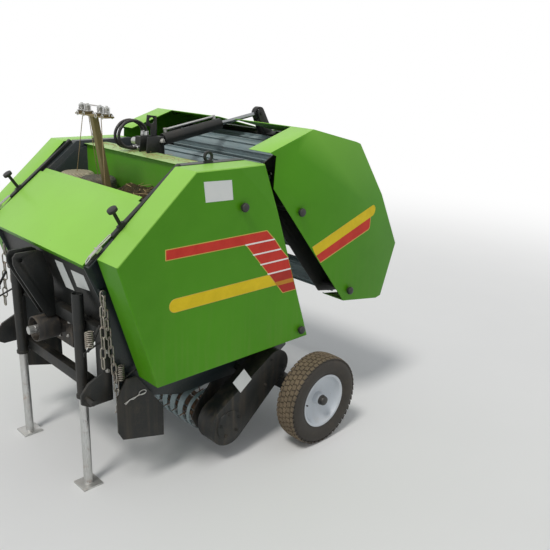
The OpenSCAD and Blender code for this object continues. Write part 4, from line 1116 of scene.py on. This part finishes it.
class BALER_OT_bodywork(bpy.types.Operator):
    """Round and paint the lid, the box, the plates, the frames and the hitch, and paint the rest"""

    bl_idname = "baler.bodywork"
    bl_label = "Bodywork and frame"

    def execute(self, context):
        rounded("hood", "lid", "hood", 0.0016)
        self.twine_box()
        rounded("gate_panel", "green", "tailgate")
        for side in ("left", "right"):
            rounded(f"side_plate_{side}", "rail", "frame")
        rounded("gate_frame", "black", "tailgate")
        for node, width in (("hitch_posts", 0.0018), ("hitch_beams", 0.0018), ("top_mast", 0.0018),
                            ("leg_sleeves", 0.0018), ("front_plate", 0.0008), ("link_cheeks", 0.0012),
                            ("top_beam", 0.0016), ("axle", 0.0020), ("pickup_drive_cover", 0.0030),
                            ("pickup_sides", 0.0010)):
            rounded(node, "black", "frame", width)
        rounded("gearbox", "cast", "frame", 0.0040)
        rounded("drive_tube", "cast", "frame", 0.0020)
        rounded("rail_fittings", "black", "frame", 0.0008)
        rounded("twine_post", "post", "frame", 0.0010)
        for side in ("left", "right"):
            rounded(f"leg_{side}", "plated", f"leg_{side}")
        for node, finish in (("input_shaft", "plated"), ("pickup_bands", "roller"), ("pickup_reel", "worn"),
                             ("hydraulic_hose", "hose"), ("hanging_chains", "chain"),
                             ("twine_strands", "twine")):
            dress(node, finish)
        self.cylinder()
        dress_parts("hose_fittings", "black", lambda p: p.y > -0.1105, "plated")
        dress_parts("twine_balls", "dark_twine", lambda p: p.y > -0.224, "pale_twine")
        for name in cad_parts:
            if "_roller_" in name:
                dress(name, "roller")
        return {"FINISHED"}

    def twine_box(self):
        """A green box whose two side walls are painted like the rails."""
        sheet = 0.0035
        walls = rounded("twine_box", "box", "frame", 0.0010).data
        walls.materials.append(FINISHES["rail"])
        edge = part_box("twine_box")[1].y - sheet
        for face in walls.polygons:
            if abs(face.center.y) > edge:
                face.material_index = 1

    def cylinder(self):
        """Black barrel with a bright pipe, and a rod with a black eye."""
        barrel_r = 0.0275
        foot = 0.045
        eye = 0.036
        pin = at(BARREL_PIN[0], 0.0, BARREL_PIN[1])
        x, z = gate_turn(*HORN_PIN)
        horn = at(x, 0.0, z)
        along = (horn - pin).normalized()

        def off_axis(point):
            reach = point - pin
            return (reach - along * reach.dot(along)).length

        def is_pipe(point):
            return off_axis(point) > barrel_r and (point - pin).length > foot

        dress_parts("cylinder_barrel", "plated", is_pipe, "black")
        dress_parts("cylinder_rod", "black", lambda p: (p - horn).length < eye, "rod")


class BALER_OT_wheels(bpy.types.Operator):
    """Make the treaded tyres, the silver rims and their hub caps"""

    bl_idname = "baler.wheels"
    bl_label = "Wheels"

    def execute(self, context):
        for side, sign in (("left", 1), ("right", -1)):
            self.tyre(side, sign)
            rounded(f"rim_{side}", "silver", f"wheel_{side}", 0.0010, limit=30)
            self.hub(side, sign)
        return {"FINISHED"}

    def tyre(self, side, sign):
        """The bare tyre, turned from the profile of its wall, and its tread blocks."""
        depth = sizes().tread_depth
        base = TYRE_R - depth
        half = (TYRE_HIGH.y - TYRE_LOW.y) / 2
        bead = 0.1275
        wall = [(bead, 0.040), (bead + 0.002, 0.046), (bead + 0.010, 0.0495), (bead + 0.013, 0.0520),
                (bead + 0.015, 0.0520), (bead + 0.018, 0.0555), (0.165, half - 0.0012), (0.180, half),
                (0.192, half - 0.0015), (0.200, half - 0.0060), (base - 0.004, half - 0.0130),
                (base - 0.0005, half - 0.0230), (base, 0.020)]
        profile = wall[:1] + [(r, -y) for r, y in wall] + wall[::-1]
        centre = Vector((AXLE_X, sign * WHEEL_Y, TYRE_R))
        shape = Shape().lathe(profile, facing(centre, (0, 1, 0)), 96)
        shape.piece(f"tyre_{side}_carcass", "tyre", f"wheel_{side}", "tyre", (f"tyre_{side}",), 50)
        pitches = sizes().tread_pitches
        block = Shape()
        step = 2 * math.pi / pitches
        filled = 0.80
        run = step * base * filled
        stagger = 0.12
        skew = 12
        tilt_per_drop = 3600
        # Each row's place across the tyre, width, share of a pitch that it is shifted by, and drop
        rows = [(-0.0445, 0.0165, 0.0, 0.0034), (-0.0225, 0.0195, 0.5, 0.0004), (0.0, 0.0185, 0.0, 0.0),
                (0.0225, 0.0195, 0.5, 0.0004), (0.0445, 0.0165, 0.0, 0.0034)]
        for index, (y, width, phase, drop) in enumerate(rows):
            spin = Matrix.Rotation((phase + stagger * index) * step, 4, "Y")
            lean = Matrix.Rotation(math.radians(skew if index % 2 else -skew), 4, "Z")
            tilt = Matrix.Rotation(math.radians(-math.copysign(drop * tilt_per_drop, y)), 4, "X")
            place = Matrix.Translation(centre) @ spin @ Matrix.Translation((0, y, base - drop)) @ tilt @ lean
            self.lug(block, run, width, depth * 0.97, place)
        mesh = block.mesh(f"tyre_{side}_tread", sharp=30)
        TREES["round"].use(f"tyre_{side}_tread", mesh, f"wheel_{side}", "tyre", "tyre", Count=pitches,
                           Centre=centre)

    def lug(self, shape, run, width, tall, place):
        """One tread block with sloping sides."""
        corners = []
        for z, grow in ((-0.003, 1.06), (tall * 0.86, 1.0), (tall, 0.90)):
            x = run / 2 * grow
            y = width / 2 * grow
            corners += [(-x, -y, z), (x, -y, z), (x, y, z), (-x, y, z)]
        faces = [(3, 2, 1, 0), (8, 9, 10, 11)]
        for low in (0, 4):
            for k in range(4):
                j = (k + 1) % 4
                faces.append((low + k, low + j, low + 4 + j, low + 4 + k))
        shape.add(corners, faces, place)

    def hub(self, side, sign):
        """Dark grease cap and the tyre valve."""
        centre = Vector((AXLE_X, sign * WHEEL_Y, TYRE_R))
        out = Vector((0, sign, 0))
        cap = Shape()
        face = 0.034
        cap.lathe([(0.0, face - 0.004), (0.0245, face - 0.004), (0.0250, face + 0.002),
                   (0.0232, face + 0.004), (0.0228, face + 0.016), (0.0205, face + 0.0210),
                   (0.012, face + 0.0238), (0.0, face + 0.0245)], facing(centre, out), 32)
        cap.piece(f"hub_cap_{side}", "knob", f"wheel_{side}")
        valve = Shape()
        base = centre + out * 0.012 + Vector((0.100, 0, 0))
        profile = [(0.0, -0.006), (0.0060, -0.006), (0.0056, 0.006), (0.0040, 0.010), (0.0036, 0.024),
                   (0.0, 0.0246)]
        valve.lathe(profile, facing(base, out - Vector((0.2, 0, 0))), 14)
        valve.piece(f"valve_{side}", "knob", f"wheel_{side}")


class BALER_OT_chains(bpy.types.Operator):
    """Hang the round-link chains with their shackle, clip and springs, and hook the latch of the lid"""

    bl_idname = "baler.chains"
    bl_label = "Chains, springs and latches"

    def execute(self, context):
        self.links()
        small = Shape()
        for side in SIDES:
            self.shackle(small, side)
            self.clip(small, side)
            self.latch(small, side)
        small.piece("chain_fittings", "bolt", "frame")
        self.springs()
        return {"FINISHED"}

    def links(self):
        """Two hanging chains on each side."""
        rows = []
        for side in SIDES:
            rows += self.strand((0.930, 0.428, 0.440), (0.980, 0.428, 0.900), side)
            rows += self.strand((1.001, 0.447, 0.600), (0.983, 0.436, 0.888), side)
        name = "hanging_chain_links"
        TREES["facing"].use(name, seeds(name, rows), "frame", "chain", "bright_steel", ("hanging_chains",),
                            Pattern=PATTERNS["chain_link"])

    def strand(self, low, high, side):
        """Seeds of the links between two points, each turned a quarter against the last."""
        shortest_pitch = 0.0385
        low = Vector(low)
        high = Vector(high)
        along = (high - low).normalized()
        count = int((high - low).length / shortest_pitch)
        pitch = (high - low).length / count
        made = []
        for i in range(count):
            middle = low + along * pitch * (i + 0.5)
            spot = at(middle.x, side * middle.y, middle.z)
            made.append((spot, (along.x, side * along.y, along.z), 1.0, math.pi / 2 * (i % 2 + 1)))
        return made

    def springs(self):
        """The hitch's coil springs, each on its stem, and the bent wire that hooks the upper one."""
        y = 0.424
        stem_r = 0.0055
        rows = []
        for side in SIDES:
            rows.append((at(1.040, side * y, 0.690), (-0.52, 0, 0.85)))
            rows.append((at(0.914, side * y, 0.512), (-0.93, 0, 0.36)))
        TREES["coil"].use("hitch_springs", seeds("hitch_springs", rows), "frame", "chain", Turns=8.0,
                          Radius=0.0145, Height=0.066, Wire=0.0027)
        stems = Shape()
        for side in SIDES:
            stems.tube([at(1.049, side * y, 0.675), at(0.992, side * y, 0.768)], stem_r, 10)
            stems.tube([at(0.930, side * y, 0.5055), at(0.836, side * y, 0.542)], stem_r, 10)
            stems.tube([at(1.060, side * 0.418, 0.657), at(1.052, side * 0.400, 0.660),
                        at(0.975, side * 0.398, 0.690)], 0.0040, 8)
        stems.piece("spring_stems", "black", "frame")

    def shackle(self, shape, side):
        """A bow shackle with its pin at the lower end of the chain."""
        y = side * 0.430
        bow = 0.0150
        points = [at(0.944, y, 0.382)]
        for k in range(11):
            a = math.pi * (k / 10 * 1.2 - 0.1)
            points.append(at(0.928 + bow * math.cos(a), y, 0.408 + bow * math.sin(a)))
        points.append(at(0.912, y, 0.382))
        shape.tube(points, 0.0033, 8)
        shape.tube([at(0.950, y, 0.384), at(0.903, y, 0.384)], 0.0032, 8)

    def clip(self, shape, side):
        """A spring clip through the cheek."""
        y = 0.4568
        inner = side * y
        outer = side * (y + 0.001)
        wire = 0.0017
        points = [at(0.921, inner, 0.424), at(0.885, inner, 0.436)]
        for k in range(13):
            a = math.radians(210 - 30 * k)
            points.append(at(0.836 + 0.017 * math.cos(a), inner, 0.447 + 0.010 * math.sin(a)))
        shape.tube(points, wire, 6)
        shape.tube([at(0.853, outer, 0.444), at(0.880, outer, 0.431), at(0.895, outer, 0.435),
                    at(0.917, outer, 0.419)], wire, 6)

    def latch(self, shape, side):
        """The bright draw latch that holds the lid's lower corner to the rail."""
        y = 0.436
        level = 0.0195
        arm = 0.006

        def on(along, above, shift=0.0):
            """A point of the latch, by its place along the rail and its height above it."""
            x, z = on_slope(along, above)
            return at(x, side * (y + shift), z)

        for shift in (-arm, arm):
            shape.tube([on(0.402, level, shift), on(0.440, 0.0205, shift), on(0.462, 0.0225, shift)],
                       0.0026, 8)
        shape.tube([on(0.402, level, -arm), on(0.397, level), on(0.402, level, arm)], 0.0026, 8)
        turn = Matrix.Rotation(SLOPE, 4, "Y")
        shape.box((0.058, 0.017, 0.004), Matrix.Translation(on(0.482, level)) @ turn)
        shape.box((0.030, 0.022, 0.006), Matrix.Translation(on(0.470, 0.0155)) @ turn)
        shape.tube([on(0.508, level, -0.007), on(0.528, 0.0160, -arm), on(0.537, 0.0110),
                    on(0.528, 0.0160, arm), on(0.508, level, 0.007)], 0.0024, 8)
        shape.tube([on(0.470, 0.022, -0.013), on(0.470, 0.022, 0.013)], 0.0034, 8)


class BALER_OT_twine(bpy.types.Operator):
    """Fit the twine brake's springs, plates and guides, the hose sleeves, and the straw and chaff"""

    bl_idname = "baler.twine"
    bl_label = "Twine brake, hose sleeves and straw"

    def execute(self, context):
        self.brake()
        self.strew()
        self.heap()
        self.ferrules()
        return {"FINISHED"}

    def brake(self):
        """Springs, pressed plates, nuts, wire eyes and the guide wire at the top of the twine post."""
        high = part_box("twine_post")[1]
        top = Vector((high.x - 0.022, 0, high.z - 0.044))
        spots = (-0.100, -0.050, 0.050, 0.100)
        stem_r = 0.0052
        seat = 0.0125
        eye_r = 0.008
        rows = [(top + Vector((0, y, seat)), (0, 0, 1)) for y in spots]
        TREES["coil"].use("tensioner_springs", seeds("tensioner_springs", rows), "frame", "plated",
                          Turns=6.0, Radius=0.0125, Height=0.026, Wire=0.0013)
        plate = [(stem_r, seat), (0.0205, 0.0128), (0.0215, 0.0140), (0.0200, 0.0152), (stem_r, 0.0152)]
        nut = [(0.0, 0.0440), (stem_r, 0.0440), (0.0090, 0.0395), (0.0090, 0.0345), (stem_r, 0.0340)]
        bright = Shape()
        for y in spots:
            spot = top + Vector((0, y, 0))
            bright.lathe(plate, Matrix.Translation(spot), 24)
            bright.lathe(nut, Matrix.Translation(spot), 6)
            for reach in (-0.0235, 0.0215):
                eye = []
                for k in range(12):
                    a = 2 * math.pi * k / 12
                    eye.append(spot + Vector((reach, eye_r * math.cos(a), eye_r * math.sin(a) + 0.002)))
                bright.tube(eye, 0.0019, 6, closed=True)
        guide = ((0.0, -0.118, 0.004), (0.004, -0.119, 0.022), (0.006, -0.080, 0.040),
                 (0.004, 0.080, 0.040), (0.0, 0.118, 0.020), (0.0, 0.118, 0.004))
        bright.tube([top + Vector(place) for place in guide], 0.0024, 8)
        bright.piece("tensioner_fittings", "plated", "frame")

    def strew(self):
        """Bits of straw on the floor of the box and on the level plate behind it."""
        bit = Shape()
        bit.tube([(-0.030, 0, 0.0012), (-0.008, 0.0015, 0.0026), (0.012, 0.0012, 0.0030),
                  (0.032, -0.001, 0.0012)], 0.0011, 4)
        pattern("straw_bit", bit.mesh("straw_bit", merge=False))
        low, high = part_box("twine_box")
        margin = 0.05
        floor = low.z + 0.0034
        plate_top = 1.3334
        count = sizes().litter
        in_box = count * 0.85
        on_plate = count * 0.15
        beds = (("straw_in_box", (low.x + margin, high.x - margin), (-0.36, 0.36), floor, in_box),
                ("straw_on_plate", (at(0.462, 0, 0).x, at(0.56, 0, 0).x), (-0.37, 0.37), plate_top, on_plate))
        for name, (x0, x1), (y0, y1), z, number in beds:
            bed = bpy.data.meshes.new(name)
            bed.from_pydata([(x0, y0, z), (x1, y0, z), (x1, y1, z), (x0, y1, z)], [], [(0, 1, 2, 3)])
            self.scatter(name, bed, number / ((x1 - x0) * (y1 - y0)))

    def scatter(self, name, bed, density):
        """Straw lying on a bed, by bits for each square metre."""
        TREES["litter"].use(name, bed, "frame", "straw", Pattern=PATTERNS["straw_bit"], Density=density)

    def chaff_depth(self, x, y, share):
        """Depth of the chaff at a place, by its share of the way from the heap's inner end to the wall."""
        deepest = 0.250
        brow = 0.70
        rise = min(1.0, share * 3.2)
        swell = rise * rise * (3 - 2 * rise)
        coarse = noise.noise(Vector((x, y, 0.4)) * 16) * 0.022
        fine = noise.noise(Vector((x, y, 0.1)) * 55) * 0.007
        fall = max(0.0, x - brow) * 0.9
        return swell * (deepest - fall + (coarse + fine))

    def heap(self):
        """Chaff that has gathered in the left half of the box, against its rear wall, with straw on it."""
        low = (0.5640, -0.045)
        high = (0.8000, 0.396)
        columns = 18
        rows = 34
        floor = 0.9605
        rim_depth = 0.004
        density = 420.0
        top = []
        for i in range(columns + 1):
            for j in range(rows + 1):
                x = low[0] + (high[0] - low[0]) * i / columns
                y = low[1] + (high[1] - low[1]) * j / rows
                top.append(at(x, y, floor + rim_depth + self.chaff_depth(x, y, j / rows)))
        faces = []
        for i in range(columns):
            for j in range(rows):
                k = i * (rows + 1) + j
                faces.append((k, k + rows + 1, k + rows + 2, k + 1))
        raised = [p + Vector((0, 0, 0.001)) for p in top]
        bed = Shape().add(raised, faces).mesh("straw_on_chaff", merge=False)
        self.scatter("straw_on_chaff", bed, density)
        rim = [i * (rows + 1) for i in range(columns + 1)]
        rim += [columns * (rows + 1) + j for j in range(1, rows + 1)]
        rim += [i * (rows + 1) + rows for i in range(columns - 1, -1, -1)]
        rim += list(range(rows - 1, 0, -1))
        foot = [Vector((top[k].x, top[k].y, floor)) for k in rim]
        start = len(top)
        count = len(rim)
        for n in range(count):
            m = (n + 1) % count
            faces.append((rim[n], start + n, start + m, rim[m]))
        faces.append(tuple(reversed(range(start, start + count))))
        Shape().add(top + foot, faces).piece("chaff_heap", "chaff", "frame", sharp=60)

    def ferrules(self):
        """Pressed sleeves with their nuts on the ends of the hose loops."""
        hose_r = 0.0072
        nut = [(hose_r, 0.0), (0.0122, 0.0002), (0.0122, 0.0080), (hose_r, 0.0084)]
        sleeve = [(hose_r, 0.0), (0.0098, 0.0005), (0.0098, 0.004), (0.0090, 0.006), (0.0090, 0.016),
                  (hose_r, 0.018)]
        up = (0, 0, 1)
        ahead = (1, 0, 0)
        shape = Shape()
        for y in (-0.064, -0.094):
            shape.lathe(nut, facing(at(0.446, y, 1.3921), up), 6)
            shape.lathe(sleeve, facing(at(0.446, y, 1.4000), up), 20)
            shape.lathe(nut, facing(at(0.4761, y, 1.346), ahead), 6)
            shape.lathe(sleeve, facing(at(0.4840, y, 1.346), ahead), 20)
        shape.piece("hose_ferrules", "plated", "frame")


class BALER_OT_fasteners(bpy.types.Operator):
    """Set the bolts of the bearings, the hitch, the gearbox and the drive cover"""

    bl_idname = "baler.fasteners"
    bl_label = "Fasteners"

    def execute(self, context):
        self.bearings("front", "frame", 0.428)
        self.bearings("gate", "tailgate", 0.439)
        self.hitch()
        self.drive_cover()
        return {"FINISHED"}

    def bearings(self, half, body, plate):
        """Three bolts round each bearing of the rollers of one half, on the plate that carries them."""
        circle = 0.0215
        rows = []
        for name in sorted(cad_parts):
            if not name.startswith(f"{half}_roller_"):
                continue
            low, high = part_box(name)
            centre = (low + high) / 2
            for side in SIDES:
                for k in range(3):
                    a = 2 * math.pi * k / 3 + 0.4
                    x = centre.x + circle * math.cos(a)
                    z = centre.z + circle * math.sin(a)
                    rows.append((Vector((x, side * plate, z)), (0, side, 0), 0.62, a))
        bolts(f"{half}_bearing_bolts", body, rows)

    def hitch(self):
        """Bolts of the hitch posts, the lift cylinder's pin and the gearbox."""
        post = (0.960, 0.406)
        pin_y = 0.040
        gearbox = (0.941, 0.635)
        spread = (0.076, 0.070)
        rows = []
        for side in SIDES:
            for z in (0.560, 0.640):
                rows.append((at(post[0], side * post[1], z), (0, side, 0), 1.0))
            rows.append((at(BARREL_PIN[0], side * pin_y, BARREL_PIN[1]), (0, side, 0), 1.3))
        for k in range(6):
            a = math.pi / 3 * k + 0.3
            spot = at(gearbox[0], spread[0] * math.cos(a), gearbox[1] + spread[1] * math.sin(a))
            rows.append((spot, (1, 0, 0), 0.9))
        bolts("frame_bolts", "frame", rows)

    def drive_cover(self):
        """Black bolts of the pickup's drive cover, and its blank plate that stands on a corner."""
        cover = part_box("pickup_drive_cover")[1].y
        drum = (0.450, 0.190)
        circle = 0.054
        step = 0.008
        plate_step = 0.0078
        rows = []
        for k in range(5):
            a = 2 * math.pi * k / 5 + 0.2
            rows.append((at(drum[0] + circle * math.cos(a), cover, drum[1] + circle * math.sin(a)),
                         (0, 1, 0), 0.8))
        for x, z in ((0.200, 0.430), (0.120, 0.372), (0.235, 0.318)):
            rows.append((at(x, cover - step, z), (0, 1, 0), 0.8))
        bolts("drive_cover_bolts", "frame", rows, "black")
        side = 0.080
        middle = Matrix.Translation(at(0.378, cover - plate_step, 0.384))
        plate = Shape().box((side, 0.0012, side), middle @ Matrix.Rotation(math.radians(36), 4, "Y"))
        plate.piece("blank_diamond_plate", "plate", "frame")


OPERATORS = (
    BALER_OT_finishes,
    BALER_OT_stage,
    BALER_OT_side_covers,
    BALER_OT_stripes,
    BALER_OT_bodywork,
    BALER_OT_wheels,
    BALER_OT_chains,
    BALER_OT_twine,
    BALER_OT_fasteners,
)


class BALER_PT_panel(bpy.types.Panel):
    """Lists the sizes, the colours and the steps of the finish"""

    bl_idname = "BALER_PT_panel"
    bl_label = "Mini Round Baler"
    bl_space_type = "VIEW_3D"
    bl_region_type = "UI"
    bl_category = "Baler"

    def draw(self, context):
        layout = self.layout
        for group in (context.scene.baler_sizes, context.scene.baler_colours):
            box = layout.box()
            for key in type(group).__annotations__:
                box.prop(group, key)
        for operator in OPERATORS:
            layout.operator(operator.bl_idname)


CLASSES = (BALER_PG_sizes, BALER_PG_colours) + OPERATORS + (BALER_PT_panel,)


def register():
    """Adds the classes, and the sizes and colours to every scene."""
    for cls in CLASSES:
        bpy.utils.register_class(cls)
    bpy.types.Scene.baler_sizes = PointerProperty(type=BALER_PG_sizes)
    bpy.types.Scene.baler_colours = PointerProperty(type=BALER_PG_colours)


def unregister():
    """Takes away what register added."""
    del bpy.types.Scene.baler_colours
    del bpy.types.Scene.baler_sizes
    for cls in reversed(CLASSES):
        bpy.utils.unregister_class(cls)


def main():
    """Registers the add-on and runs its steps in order."""
    register()
    for operator in OPERATORS:
        group, step = operator.bl_idname.split(".")
        result = getattr(getattr(bpy.ops, group), step)()
        if result != {"FINISHED"}:
            raise RuntimeError(f"{operator.bl_label} did not finish")


if __name__ == "__main__":
    main()
